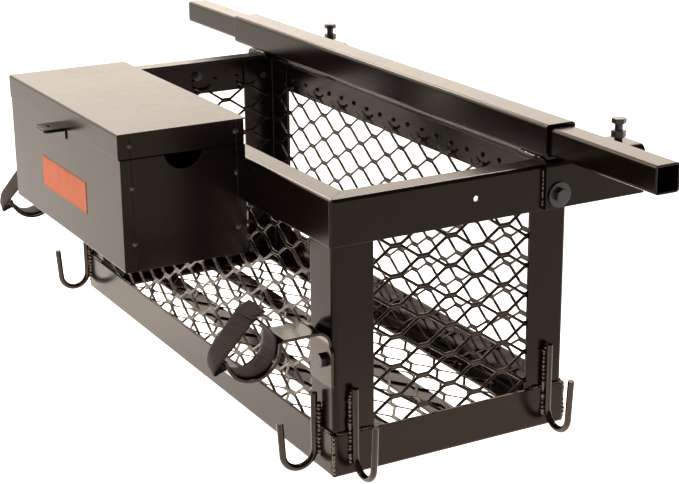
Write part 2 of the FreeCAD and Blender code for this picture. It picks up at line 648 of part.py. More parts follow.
def band(route, thickness, width):
    """A closed band that follows a closed route in the Y-Z plane."""
    count = len(route)
    sides = ([], [])
    for index in range(count):
        y0, z0 = route[index - 1]
        y1, z1 = route[index]
        y2, z2 = route[(index + 1) % count]
        before = math.atan2(z1 - z0, y1 - y0)
        after = math.atan2(z2 - z1, y2 - y1)
        bend = (after - before + math.pi) % (2 * math.pi) - math.pi
        normal = before + bend / 2 + math.pi / 2
        reach = thickness / 2 / math.cos(bend / 2)
        for side, sign in zip(sides, (1, -1)):
            side.append(V(0, y1 + sign * reach * math.cos(normal), z1 + sign * reach * math.sin(normal)))
    faces = [Part.Face(Part.makePolygon(side + [side[0]])) for side in sides]
    faces.sort(key=lambda face: face.Area)
    return faces[1].cut(faces[0]).extrude(V(width, 0, 0)).Solids[0]


def strap():
    """The webbing loop in the right-hand cradle: along the U, out through the slot and over the top."""
    inside = CRADLE_U_RADIUS - CRADLE_SHEET / 2 - STRAP_GAP - STRAP_THICKNESS / 2
    middle = (SLOT_LOW + SLOT_HIGH) / 2
    leave = math.degrees(math.asin(-middle / inside)) - 180
    route = [STRAP_SHOULDER, (inside - 0.5, 6.0)]
    steps = 14
    for step in range(steps + 1):
        turn = math.radians(leave * step / steps)
        route.append((inside * math.cos(turn), inside * math.sin(turn)))
    fold = (STRAP_TIP[0] + STRAP_TIP_FOLD[0], STRAP_TIP[1] + STRAP_TIP_FOLD[1])
    route += [(-CRADLE_U_RADIUS - CRADLE_SHEET, middle - STRAP_THICKNESS), STRAP_TIP, fold, STRAP_CROWN]
    centre = cradle_middle()
    return move(band(route, STRAP_THICKNESS, STRAP_WIDTH), CRADLE_X - STRAP_WIDTH / 2, centre.y, centre.z)


def cradles(parts):
    """Two cradles, their straps and the bolts that hold them to the front posts."""
    x, z = CRADLE_X + CRADLE_BOLT_OFFSET, CRADLE_BOLT_HEIGHT
    face = V(x, -POST_OUT_Y, z)
    inward = V(0, 1, 0)
    hole = rod(face - inward, face + inward * 20, M12_RADIUS + HOLE_CLEARANCE)
    clear_mesh = rod(face, face + inward * 30, M12_FLATS * 0.7)
    right = cradle()
    loop = strap()
    seat = face - inward * CRADLE_SHEET
    grip = CRADLE_SHEET + POST_SHEET + M12_NUT + 3
    bolt = headed_bolt(seat, V(0, -1, 0), grip, M12_RADIUS, M12_FLATS, M12_HEAD)
    back_nut = nut(face + inward * POST_SHEET, inward, M12_FLATS, M12_NUT, M12_RADIUS)
    for side, shift in (("right", 0), ("left", -CRADLE_SPACING)):
        parts[f"post_front_{side}"] = parts[f"post_front_{side}"].cut(move(hole, shift))
        pierced = parts["mesh_front"].cut(move(clear_mesh, shift))
        parts["mesh_front"] = max(pierced.Solids, key=lambda piece: piece.Volume)
    return {
        "cradle_right": right,
        "cradle_left": move(right, -CRADLE_SPACING),
        "strap_right": loop,
        "strap_left": move(loop, -CRADLE_SPACING),
        "cradle_bolts": Part.Compound([bolt, move(bolt, -CRADLE_SPACING)]),
        "cradle_nuts": Part.Compound([back_nut, move(back_nut, -CRADLE_SPACING)]),
    }


def folded_trough(x0, x1, y0, y1, z0, z1, sheet, bend):
    """A sheet folded into a U: front wall, bottom and back wall, along X."""
    outer = box(x0, x1, y0, y1, z0, z1)
    folds = [e for e in outer.Edges if e.BoundBox.XLength > 1 and e.BoundBox.ZMax < z0 + 1]
    outer = outer.makeFillet(bend, folds)
    inner = box(x0, x1, y0 + sheet, y1 - sheet, z0 + sheet, z1)
    folds = [e for e in inner.Edges if e.BoundBox.XLength > 1 and e.BoundBox.ZMax < z0 + sheet + 1]
    return outer.cut(inner.makeFillet(bend - sheet, folds))


def end_tab(y0, y1, z0, z1, sheet, x_face):
    """A return tab that closes part of one end of a folded sheet."""
    x0, x1 = sorted((x_face, x_face - math.copysign(sheet, x_face - BOX_CENTRE)))
    return box(x0, x1, y0, y1, z0, z1)


def toolbox_shell():
    """The folded front, bottom and back, with tabs round its ends and a rim that stands inside the lid."""
    rim = SEAM + BOX_RIM
    body = folded_trough(BOX_LEFT, BOX_RIGHT, BODY_FRONT, BOX_BACK, BOX_BOTTOM, rim, BOX_SHEET, BOX_BEND)
    body_top = SEAM - LID_GAP
    rim_end = LID_END_INSET + 2 * BOX_SHEET + LID_GAP
    trims = [
        box(BOX_LEFT - 1, BOX_LEFT + rim_end, BODY_FRONT - 1, BOX_BACK + 1, body_top, rim + 1),
        box(BOX_RIGHT - rim_end, BOX_RIGHT + 1, BODY_FRONT - 1, BOX_BACK + 1, body_top, rim + 1),
    ]
    body = body.cut(trims)
    tabs = []
    for face in (BOX_LEFT, BOX_RIGHT):
        low = BOX_BOTTOM + BOX_BEND
        tabs.append(end_tab(BODY_FRONT, BOX_FRONT_SEAM, low, body_top, BOX_END_SHEET, face))
        tabs.append(end_tab(BOX_BACK_SEAM, BOX_BACK, low, body_top, BOX_END_SHEET, face))
    return body.fuse(tabs).removeSplitter()


def toolbox_end():
    """The right end panel: a plate between the tabs, with a finger notch and backing strips."""
    outer, inner = BOX_RIGHT, BOX_RIGHT - BOX_END_SHEET
    back_off = inner - BOX_END_SHEET
    y0 = BOX_FRONT_SEAM + TAB_SEAM
    y1 = BOX_BACK_SEAM - TAB_SEAM
    z0 = BOX_BOTTOM + BOX_SHEET
    z1 = SEAM - LID_GAP
    plate = box(inner, outer, y0, y1, z0, z1)
    front_in, back_in = BODY_FRONT + BOX_BEND, BOX_BACK - BOX_BEND
    strips = [
        box(back_off, inner, front_in, front_in + BACKING_WIDTH, z0 + BOX_BEND, z1),
        box(back_off, inner, back_in - BACKING_WIDTH, back_in, z0 + BOX_BEND, z1),
    ]
    plate = plate.fuse(strips)
    middle = (BODY_FRONT + BOX_BACK) / 2
    centre_z = z1 - NOTCH_DEPTH + NOTCH_RADIUS
    notch = rod(V(back_off - 1, middle, centre_z), V(outer + 1, middle, centre_z), NOTCH_RADIUS)
    return plate.cut(notch)


def flip_box(shape):
    """The left-end copy of a piece at the toolbox's right end."""
    return shape.mirror(V(BOX_CENTRE, 0, 0), V(1, 0, 0))


def rivet(place, grip):
    """A domed rivet through the sheets behind it, with its head on +X."""
    x_axis = V(1, 0, 0)
    ball_radius = (RIVET_HEAD_RADIUS ** 2 + RIVET_HEAD ** 2) / (2 * RIVET_HEAD)
    ball = Part.makeSphere(ball_radius, place - x_axis * (ball_radius - RIVET_HEAD))
    slab = Part.makeCylinder(RIVET_HEAD_RADIUS * 1.2, RIVET_HEAD * 2, place, x_axis)
    tail = place - x_axis * grip
    upset = Part.makeCylinder(RIVET_RADIUS * 1.5, 1.0, tail - x_axis, x_axis)
    dome = ball.common(slab)
    return dome.fuse([rod(place, tail, RIVET_RADIUS), upset]).removeSplitter().Solids[0]


def rivets(heights, face, grip):
    """Rivets at both ends of the box, at the given heights, on the tabs' seams."""
    made = []
    for z in heights:
        for y in (BOX_FRONT_SEAM + TAB_SEAM / 2, BOX_BACK_SEAM - TAB_SEAM / 2):
            made.append(rivet(V(face, y, z), grip))
    return made + [flip_box(one) for one in made]


def rivet_holes(made):
    """A running hole for every rivet."""
    holes = []
    for one in made:
        centre = one.BoundBox.Center
        holes.append(rod(centre - V(20, 0, 0), centre + V(20, 0, 0), RIVET_RADIUS + THREAD_CLEARANCE))
    return holes


def toolbox_lid():
    """The lid's folded top and front skirt, with tabs round its front corners and back corners."""
    outer = box(LID_LEFT, LID_RIGHT, BOX_FRONT, HINGE_Y, SEAM, BOX_TOP)
    folds = [e for e in outer.Edges if e.BoundBox.XLength > 1 and e.CenterOfMass.y < BOX_FRONT + 1
             and e.CenterOfMass.z > BOX_TOP - 1]
    outer = outer.makeFillet(BOX_BEND, folds)
    inner = box(LID_LEFT - 1, LID_RIGHT + 1, BOX_FRONT + BOX_SHEET, HINGE_Y + 1,
                SEAM - 1, BOX_TOP - BOX_SHEET)
    folds = [e for e in inner.Edges if e.BoundBox.XLength > 1 and e.CenterOfMass.y < BOX_FRONT + BOX_SHEET + 1
             and e.CenterOfMass.z > BOX_TOP - BOX_SHEET - 1]
    sheet = outer.cut(inner.makeFillet(BOX_BEND - BOX_SHEET, folds))
    tabs = []
    top = BOX_TOP - BOX_SHEET
    for face in (LID_LEFT, LID_RIGHT):
        tabs.append(end_tab(BOX_FRONT + BOX_BEND, BOX_FRONT_SEAM, SEAM, top, BOX_SHEET, face))
        tabs.append(end_tab(BOX_FRONT, BOX_FRONT + BOX_BEND, SEAM, BOX_TOP - BOX_BEND, BOX_SHEET, face))
        tabs.append(end_tab(BOX_BACK_SEAM, BOX_BACK - LID_CLEARANCE, SEAM, top, BOX_SHEET, face))
    return sheet.fuse(tabs).removeSplitter()


def lid_end():
    """The right end cap of the lid, with backing strips behind the seams and a flange under the top."""
    outer, inner = LID_RIGHT, LID_RIGHT - BOX_SHEET
    back_off = inner - BOX_SHEET
    top = BOX_TOP - BOX_SHEET
    plate = box(inner, outer, BOX_FRONT_SEAM + TAB_SEAM, BOX_BACK_SEAM - TAB_SEAM, SEAM, top)
    strip = box(back_off, inner, BODY_FRONT + BOX_SHEET + LID_GAP, BOX_BACK - 2 * BOX_BEND, SEAM, top)
    flange = box(inner - 14, inner, BOX_FRONT_SEAM, BOX_BACK_SEAM, top - BOX_SHEET, top)
    return plate.fuse([strip, flange]).removeSplitter()


def hinge():
    """A long knuckled hinge: a leaf on the box, a leaf under the lid, and the pin."""
    start = BOX_CENTRE - HINGE_LENGTH / 2
    pitch = HINGE_LENGTH / HINGE_KNUCKLES
    top = BOX_TOP - BOX_SHEET
    box_leaf = box(start, start + HINGE_LENGTH, BOX_BACK, BOX_BACK + HINGE_LEAF,
                   HINGE_Z - HINGE_LEAF_WIDTH, HINGE_Z)
    lid_leaf = box(start, start + HINGE_LENGTH, BOX_BACK - HINGE_LEAF_WIDTH, HINGE_Y, top - HINGE_LEAF, top)
    leaves = [box_leaf, lid_leaf]
    relief = HINGE_KNUCKLE_RADIUS + HINGE_GAP
    for index in range(HINGE_KNUCKLES):
        owner = index % 2
        x0 = start + index * pitch + HINGE_GAP / 2
        x1 = x0 + pitch - HINGE_GAP
        clear = rod(V(x0 - HINGE_GAP, HINGE_Y, HINGE_Z), V(x1 + HINGE_GAP, HINGE_Y, HINGE_Z), relief)
        knuckle = rod(V(x0, HINGE_Y, HINGE_Z), V(x1, HINGE_Y, HINGE_Z), HINGE_KNUCKLE_RADIUS)
        leaves[1 - owner] = leaves[1 - owner].cut(clear)
        leaves[owner] = leaves[owner].fuse(knuckle)
    bore = rod(V(start - 1, HINGE_Y, HINGE_Z), V(start + HINGE_LENGTH + 1, HINGE_Y, HINGE_Z),
               HINGE_PIN_RADIUS + THREAD_CLEARANCE)
    pin = rod(V(start, HINGE_Y, HINGE_Z), V(start + HINGE_LENGTH, HINGE_Y, HINGE_Z), HINGE_PIN_RADIUS)
    return leaves[0].cut(bore), leaves[1].cut(bore), pin


def hasp(z0):
    """A slotted padlock tab that stands out of the box's front."""
    x0, x1 = HASP_CENTRE - HASP_WIDTH / 2, HASP_CENTRE + HASP_WIDTH / 2
    y1 = BOX_FRONT
    y0 = y1 - HASP_REACH
    tab = box(x0, x1, y0, y1, z0, z0 + HASP_SHEET)
    corners = [e for e in tab.Edges if e.BoundBox.ZLength > 1 and e.CenterOfMass.y < y0 + 1]
    tab = tab.makeFillet(HASP_CORNER, corners)
    length, width = HASP_SLOT
    middle = y0 + HASP_REACH * 0.45
    slot = box(HASP_CENTRE - length / 2, HASP_CENTRE + length / 2, middle - width / 2, middle + width / 2,
               z0 - 1, z0 + HASP_SHEET + 1)
    return tab.cut(slot)


def toolbox():
    """Every piece of the toolbox."""
    box_leaf, lid_leaf, pin = hinge()
    z_mount = TOP - TOP_RAIL_LEG / 2
    body_rivets = rivets(BOX_RIVET_HEIGHTS, BOX_RIGHT, 2 * BOX_END_SHEET)
    lid_rivets = rivets((LID_RIVET_HEIGHT,), LID_RIGHT, BOX_SHEET * 2)
    body_holes = rivet_holes(body_rivets)
    lid_holes = rivet_holes(lid_rivets)
    shell = toolbox_shell().cut(body_holes)
    end = toolbox_end().cut(body_holes)
    lid = toolbox_lid().cut(lid_holes)
    cap = lid_end().cut(lid_holes)

    lower_hasp = hasp(SEAM - LID_GAP - HASP_SHEET)
    foot = box(HASP_CENTRE - HASP_WIDTH / 2, HASP_CENTRE + HASP_WIDTH / 2, BOX_FRONT, BODY_FRONT,
               SEAM - LID_GAP - 14, SEAM - LID_GAP)
    lower_hasp = lower_hasp.fuse(foot).removeSplitter()
    upper_hasp = hasp(SEAM)

    width, height = LABEL_SIZE
    x, z = LABEL_CENTRE
    label = box(x - width / 2, x + width / 2, BODY_FRONT - LABEL_SHEET, BODY_FRONT,
                z - height / 2, z + height / 2)

    bolts, washers, nuts, holes = [], [], [], []
    for side in (-1, 1):
        x_bolt = BOX_CENTRE + side * MOUNT_BOLT_SPACING / 2
        seat = V(x_bolt, BOX_BACK - BOX_SHEET, z_mount)
        bolts.append(headed_bolt(seat, V(0, -1, 0), M8_LENGTH, M8_RADIUS, M8_FLATS, M8_HEAD))
        back = V(x_bolt, RAIL_SHEET - REAR, z_mount)
        washers.append(ring(back, V(0, 1, 0), SMALL_WASHER_RADIUS, M8_RADIUS + HOLE_CLEARANCE,
                            SMALL_WASHER_SHEET))
        nuts.append(nut(back + V(0, SMALL_WASHER_SHEET, 0), V(0, 1, 0), M8_FLATS, M8_NUT, M8_RADIUS))
        holes.append(rod(seat - V(0, 5, 0), back + V(0, 5, 0), M8_RADIUS + HOLE_CLEARANCE))
    return {
        "toolbox_shell": shell.cut(holes),
        "toolbox_end_right": end,
        "toolbox_end_left": flip_box(end),
        "toolbox_rivets": Part.Compound(body_rivets),
        "toolbox_hasp": lower_hasp,
        "toolbox_label": label,
        "toolbox_hinge_leaf": box_leaf,
        "toolbox_hinge_pin": pin,
        "lid": lid,
        "lid_end_right": cap,
        "lid_end_left": flip_box(cap),
        "lid_rivets": Part.Compound(lid_rivets),
        "lid_hasp": upper_hasp,
        "lid_hinge_leaf": lid_leaf,
    }, (bolts, washers, nuts, holes)


def build():
    """Every node of the carrier, by name."""
    parts = {}
    parts.update(basket_rails())
    parts.update(corner_posts())
    parts.update(floor_bars())
    parts.update(mesh_panels())
    parts.update(cross_bar())
    parts.update(clamp_brackets(parts))
    bolt, washers, rail_nut = rail_bolt(parts)
    parts.update(j_hooks())
    parts.update(cradles(parts))
    box_parts, (box_bolts, box_washers, box_nuts, box_holes) = toolbox()
    parts["top_rail_front"] = parts["top_rail_front"].cut(box_holes)
    parts.update(box_parts)
    parts["m8_bolts"] = Part.Compound([bolt] + box_bolts)
    parts["m8_washers"] = Part.Compound(washers + box_washers)
    parts["m8_nuts"] = Part.Compound([rail_nut] + box_nuts)
    return parts


def main():
    os.makedirs("parts", exist_ok=True)
    for node, shape in build().items():
        if not shape.isValid():
            print("not valid:", node)
        shape.exportStep(f"parts/{node}.step")
        print(f"{node}: {len(shape.Solids)} solid(s), {shape.Volume / 1000:.1f} cm3")


main()
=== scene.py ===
"""Looks for the cargo carrier: a steel basket with raised mesh, straps, a toolbox and a telescoping bar."""

import json
import logging
import math
from collections.abc import Iterable, Mapping, Sequence
from dataclasses import dataclass, field
from enum import Enum

import bpy
import numpy as np
from mathutils import Matrix, Vector

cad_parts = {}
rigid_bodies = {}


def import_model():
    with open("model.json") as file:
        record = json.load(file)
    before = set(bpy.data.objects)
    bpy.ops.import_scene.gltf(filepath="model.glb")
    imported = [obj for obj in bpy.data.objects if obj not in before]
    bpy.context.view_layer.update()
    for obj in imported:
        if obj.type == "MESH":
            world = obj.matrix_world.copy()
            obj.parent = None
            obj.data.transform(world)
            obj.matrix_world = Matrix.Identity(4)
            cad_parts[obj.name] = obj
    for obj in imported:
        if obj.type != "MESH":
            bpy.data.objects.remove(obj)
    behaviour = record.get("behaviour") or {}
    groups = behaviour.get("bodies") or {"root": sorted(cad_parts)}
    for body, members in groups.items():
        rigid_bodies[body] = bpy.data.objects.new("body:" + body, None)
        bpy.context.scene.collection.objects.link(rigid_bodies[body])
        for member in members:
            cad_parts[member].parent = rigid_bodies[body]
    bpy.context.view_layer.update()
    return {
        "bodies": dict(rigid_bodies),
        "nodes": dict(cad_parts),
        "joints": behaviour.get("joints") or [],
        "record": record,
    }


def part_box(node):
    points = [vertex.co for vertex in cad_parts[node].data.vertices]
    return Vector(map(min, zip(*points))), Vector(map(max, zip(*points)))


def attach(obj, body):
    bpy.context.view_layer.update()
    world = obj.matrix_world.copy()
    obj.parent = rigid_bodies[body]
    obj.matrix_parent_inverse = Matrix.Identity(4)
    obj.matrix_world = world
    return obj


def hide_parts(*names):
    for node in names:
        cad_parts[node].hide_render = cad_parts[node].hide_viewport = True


LOG = logging.getLogger("cargo_carrier")
RGB = tuple[float, float, float]
Place = tuple[float, float, float]
ROOT_BODY = "frame"


class Wire:
    """One output socket, with arithmetic that adds Math nodes."""

    def __init__(self, book: "NodeBook", socket: bpy.types.NodeSocket) -> None:
        """Keeps the socket and the tree it belongs to.

        Args:
            book: The tree that new nodes go into.
            socket: The output socket this wire starts at.
        """
        self.book = book
        self.socket = socket

    def math(self, operation: str, *others: "Wire | float") -> "Wire":
        """Adds one Math node that starts with this wire.

        Args:
            operation: The Math node's operation.
            others: The values or wires of its remaining inputs.

        Returns:
            The wire that leaves the node.
        """
        feeds = {0: self} | {index + 1: other for index, other in enumerate(others)}
        return self.book.add("ShaderNodeMath", {"operation": operation}, feeds)

    def __add__(self, other: "Wire | float") -> "Wire":
        """Sum."""
        return self.math("ADD", other)

    def __radd__(self, other: float) -> "Wire":
        """Sum, from the right."""
        return self.math("ADD", other)

    def __sub__(self, other: "Wire | float") -> "Wire":
        """Difference."""
        return self.math("SUBTRACT", other)

    def __rsub__(self, other: float) -> "Wire":
        """Difference, from the right."""
        return self.math("MULTIPLY", -1.0).math("ADD", other)

    def __mul__(self, other: "Wire | float") -> "Wire":
        """Product."""
        return self.math("MULTIPLY", other)

    def __rmul__(self, other: float) -> "Wire":
        """Product, from the right."""
        return self.math("MULTIPLY", other)

    def wave(self, pitch: float) -> "Wire":
        """A 0 to 1 wave along this length.

        Args:
            pitch: The length of one wave.

        Returns:
            The wave's value.
        """
        return (self * (2 * math.pi / pitch)).math("SINE") * 0.5 + 0.5

    def between(self, low: float, high: float) -> "Wire":
        """Smooth step from 0 at low to 1 at high.

        Args:
            low: Where it is 0.
            high: Where it is 1.

        Returns:
            The step's value.
        """
        feeds = {"Value": self, "From Min": low, "From Max": high}
        return self.book.add("ShaderNodeMapRange", {"interpolation_type": "SMOOTHSTEP"}, feeds)


class NodeBook:
    """Adds nodes to one shader tree."""

    def __init__(self, tree: bpy.types.NodeTree) -> None:
        """Starts an empty tree.

        Args:
            tree: The node tree of a material or a world.
        """
        self.tree = tree
        tree.nodes.clear()

    def add(
        self,
        kind: str,
        settings: Mapping[str, object] | None = None,
        feeds: Mapping[str | int, object] | None = None,
        output: str | int = 0,
    ) -> Wire:
        """Adds one node of any type.

        Args:
            kind: The node's type name.
            settings: Properties that are set before anything else.
            feeds: Values or wires for its input sockets, by name or number.
            output: The output socket that is wanted.

        Returns:
            The wire that leaves the wanted output.
        """
        node = self.tree.nodes.new(kind)
        for name, value in (settings or {}).items():
            setattr(node, name, value)
        for name, value in (feeds or {}).items():
            if isinstance(value, Wire):
                self.tree.links.new(value.socket, node.inputs[name])
            else:
                node.inputs[name].default_value = value
        return Wire(self, node.outputs[output] if node.outputs else None)

    def blend(self, share: Wire, low: RGB | Wire, high: RGB | Wire) -> Wire:
        """Mixes two colours.

        Args:
            share: 0 gives the first colour and 1 the second.
            low: The first colour.
            high: The second colour.

        Returns:
            The mixed colour.
        """
        pair = [colour if isinstance(colour, Wire) else (*colour, 1.0) for colour in (low, high)]
        return self.add("ShaderNodeMix", {"data_type": "RGBA"}, {0: share, 6: pair[0], 7: pair[1]}, 2)

    def place(self, kind: str = "Object") -> Wire:
        """Texture coordinates of one kind."""
        return self.add("ShaderNodeTexCoord", {}, {}, kind)

    def axis(self, vector: Wire, name: str) -> Wire:
        """One component of a vector."""
        return self.add("ShaderNodeSeparateXYZ", {}, {0: vector}, name)

    def dot(self, one: Wire, other: Wire | Place) -> Wire:
        """The dot product of two vectors."""
        return self.add("ShaderNodeVectorMath", {"operation": "DOT_PRODUCT"}, {0: one, 1: other}, "Value")

    def soft_edge(self, radius: float) -> tuple[Wire, Wire, Wire]:
        """Normals that are rounded over the edges.

        Args:
            radius: The edges' radius in metres.

        Returns:
            The rounded normal, the true one, and how far they differ.
        """
        rounded = self.add("ShaderNodeBevel", {"samples": 6}, {"Radius": radius})
        true = self.add("ShaderNodeNewGeometry", {}, {}, "True Normal")
        return rounded, true, 1.0 - self.dot(rounded, true)

    def bump(self, height: Wire, strength: float, distance: float, normal: Wire | None = None) -> Wire:
        """A bumped normal.

        Args:
            height: The height over the surface.
            strength: How much of it is used.
            distance: The full height in metres.
            normal: The normal that it starts from, or none.

        Returns:
            The normal.
        """
        feeds = {"Strength": strength, "Distance": distance, "Height": height}
        return self.add("ShaderNodeBump", {}, feeds if normal is None else feeds | {"Normal": normal})

    def noise(self, place: Wire, scale: float, detail: float = 2.0, rough: float = 0.5) -> Wire:
        """Soft noise.

        Args:
            place: The coordinates it is read at.
            scale: Cells per metre.
            detail: Layers of finer noise.
            rough: The weight of the finer layers.

        Returns:
            A value near 0.5, from 0 to 1.
        """
        feeds = {"Vector": place, "Scale": scale, "Detail": detail, "Roughness": rough}
        return self.add("ShaderNodeTexNoise", {}, feeds)

    def surface(self, feeds: Mapping[str | int, object]) -> None:
        """Closes the tree with a Principled shader.

        Args:
            feeds: The shader's sockets.
        """
        shader = self.add("ShaderNodeBsdfPrincipled", {}, feeds)
        self.add("ShaderNodeOutputMaterial", {}, {"Surface": shader})


def new_material(name: str) -> tuple[bpy.types.Material, NodeBook]:
    """Makes an empty node material.

    Args:
        name: The material's name.

    Returns:
        The material and the book that adds its nodes.
    """
    material = bpy.data.materials.new(name)
    material.use_nodes = True
    return material, NodeBook(material.node_tree)


@dataclass(frozen=True)
class PowderCoat:
    """Baked black paint on steel: fine orange peel, soft dust on top faces and a painted highlight along the
    edges.
    """

    name: str
    base: RGB = (0.0031, 0.0019, 0.0015)
    painted_edge_highlight: RGB = (0.045, 0.036, 0.030)
    dust: RGB = (0.10, 0.088, 0.075)
    roughness: float = 0.19
    peel: float = 0.00010
    edge: float = 0.0016
    grain: float = 850.0
    dusting: float = 0.03
    gloss: float = 0.17
    tint: RGB = (1.0, 0.83, 0.69)

    def material(self) -> bpy.types.Material:
        """Builds the paint.

        Returns:
            The material.
        """
        made, book = new_material(self.name)
        place = book.place()
        cloud = book.noise(place, 7.0, 3.0)
        streak = book.noise(place, 55.0, 4.0, 0.6)
        peel = book.noise(place, self.grain, 2.0)
        grit = book.noise(place, 2600.0, 1.0).between(0.66, 0.74)
        rounded, true, turned = book.soft_edge(self.edge)
        # Painted highlight: the edge mask lightens the colour along the bevelled edges, broken up by the
        # streak noise.
        edge = turned.between(0.004, 0.16) * streak.between(0.30, 0.70)
        lift = book.axis(true, "Z").between(0.6, 0.95)
        dusty = lift * (cloud * 0.6 + streak * 0.4).between(0.38, 0.66) * self.dusting
        paint = book.blend(edge * 0.7, self.base, self.painted_edge_highlight)
        paint = book.blend(dusty + grit * 0.05, paint, self.dust)
        shine = (cloud - 0.5) * 0.08 + (streak - 0.5) * 0.05 + dusty * 0.8 + self.roughness
        bump = book.bump(peel + streak * 0.5, 0.35, self.peel, rounded)
        book.surface({"Base Color": paint, "Roughness": shine, "Normal": bump,
                      "Specular IOR Level": self.gloss, "Specular Tint": (*self.tint, 1.0)})
        return made


@dataclass(frozen=True)
class BlackOxide:
    """Dark oxide on bolts, nuts and washers, with brighter rubbed corners."""

    name: str = "black_oxide"
    base: RGB = (0.012, 0.012, 0.013)
    rubbed: RGB = (0.09, 0.085, 0.08)
    edge: float = 0.0006

    def material(self) -> bpy.types.Material:
        """Builds the oxide.

        Returns:
            The material.
        """
        made, book = new_material(self.name)
        place = book.place()
        blotch = book.noise(place, 160.0, 4.0, 0.6)
        fine = book.noise(place, 1500.0, 2.0)
        rounded, _, turned = book.soft_edge(self.edge)
        edge = turned.between(0.01, 0.25) * blotch.between(0.35, 0.6)
        colour = book.blend(edge, self.base, self.rubbed)
        bump = book.bump(fine, 0.4, 0.00008, rounded)
        book.surface({"Base Color": colour, "Roughness": blotch * 0.22 + 0.24, "Metallic": edge * 0.5,
                      "Normal": bump})
        return made


@dataclass(frozen=True)
class Webbing:
    """Ribbed hook-and-loop webbing with painted shade in the rib grooves, read along and across the strap
    from its UV map.
    """

    name: str = "ribbed_webbing"
    ridge: RGB = (0.052, 0.036, 0.035)
    painted_groove_shade: RGB = (0.010, 0.006, 0.007)
    pitch: float = 0.0033
    yarn: float = 0.0011

    def material(self) -> bpy.types.Material:
        """Builds the webbing.

        Returns:
            The material.
        """
        made, book = new_material(self.name)
        flat = book.place("UV")
        along = book.axis(flat, "X")
        across = book.axis(flat, "Y")
        ribs = along.wave(self.pitch)
        yarn = across.wave(self.yarn) * along.wave(self.yarn)
        place = book.place()
        fuzz = book.noise(place, 2400.0, 3.0, 0.7)
        patch = book.noise(place, 70.0, 2.0)
        # Painted shade: the colour darkens in the rib grooves and lightens on the ridges; yarn, fuzz and
        # patch add the cloth's own uneven tone.
        share = ribs * 0.62 + yarn * 0.16 + fuzz * 0.18 + patch * 0.16 - 0.08
        colour = book.blend(share, self.painted_groove_shade, self.ridge)
        height = ribs * 0.7 + yarn * 0.5 + fuzz * 0.5
        bump = book.bump(height, 0.6, 0.0004)
        book.surface({"Base Color": colour, "Roughness": fuzz * 0.2 + 0.72, "Normal": bump,
                      "Sheen Weight": 0.12, "Sheen Roughness": 0.5, "Specular IOR Level": 0.2})
        return made


@dataclass(frozen=True)
class TabPlastic:
    """The smooth moulded pull tab at the end of a strap."""

    name: str = "smooth_tab"
    base: RGB = (0.060, 0.050, 0.045)
    pale: RGB = (0.085, 0.072, 0.064)

    def material(self) -> bpy.types.Material:
        """Builds the tab's plastic.

        Returns:
            The material.
        """
        made, book = new_material(self.name)
        place = book.place()
        cloud = book.noise(place, 90.0, 3.0)
        fine = book.noise(place, 1800.0, 2.0)
        colour = book.blend(cloud.between(0.3, 0.7), self.base, self.pale)
        bump = book.bump(fine, 0.3, 0.0001)
        book.surface({"Base Color": colour, "Roughness": cloud * 0.15 + 0.42, "Normal": bump})
        return made


@dataclass(frozen=True)
class OrangePlate:
    """The plain orange plate on the toolbox, with a slightly darker rim and fine grain."""

    name: str = "orange_plate"
    base: RGB = (0.42, 0.098, 0.038)
    deep: RGB = (0.32, 0.066, 0.024)

    def material(self) -> bpy.types.Material:
        """Builds the plate's finish.

        Returns:
            The material.
        """
        made, book = new_material(self.name)
        place = book.place()
        cloud = book.noise(place, 30.0, 4.0, 0.6)
        fine = book.noise(place, 1400.0, 2.0)
        bounds = book.place("Generated")
        side = book.axis(bounds, "X")
        rise = book.axis(bounds, "Z")
        rim_x = (side - 0.5).math("ABSOLUTE").between(0.472, 0.492)
        rim_z = (rise - 0.5).math("ABSOLUTE").between(0.40, 0.47)
        rim = rim_x.math("MAXIMUM", rim_z)
        colour = book.blend(rim * 0.55 + cloud.between(0.35, 0.75) * 0.25, self.base, self.deep)
        bump = book.bump(fine, 0.25, 0.0001)
        book.surface({"Base Color": colour, "Roughness": cloud * 0.2 + 0.40, "Normal": bump,
                      "Specular IOR Level": 0.12})
        return made


@dataclass(frozen=True)
class PaleFloor:
    """The pale studio floor, which glows with painted light: a little everywhere, and most in a painted pool
    of light round the carrier that lifts its shadow.
    """

    name: str = "pale_floor"
    low: RGB = (0.50, 0.49, 0.47)
    high: RGB = (0.54, 0.53, 0.515)
    far_glow: RGB = (0.54, 0.52, 0.505)
    near_glow: RGB = (1.25, 1.13, 1.01)
    near_reach: tuple[float, float] = (0.28, 0.56)

    def material(self) -> bpy.types.Material:
        """Builds the floor's finish.

        Returns:
            The material.
        """
        made, book = new_material(self.name)
        place = book.place()
        cloud = book.noise(place, 1.5, 4.0)
        colour = book.blend(cloud, self.low, self.high)
        east = book.axis(place, "X")
        north = book.axis(place, "Y")
        # Painted pool of light: the emission is strongest near the carrier and fades outward.
        near = 1.0 - (east * east * 0.3 + north * north).math("SQRT").between(*self.near_reach)
        glow = book.blend(near, self.far_glow, self.near_glow)
        book.surface({"Base Color": colour, "Roughness": cloud * 0.1 + 0.85, "Specular IOR Level": 0.1,
                      "Emission Color": glow, "Emission Strength": 2.0})
        return made


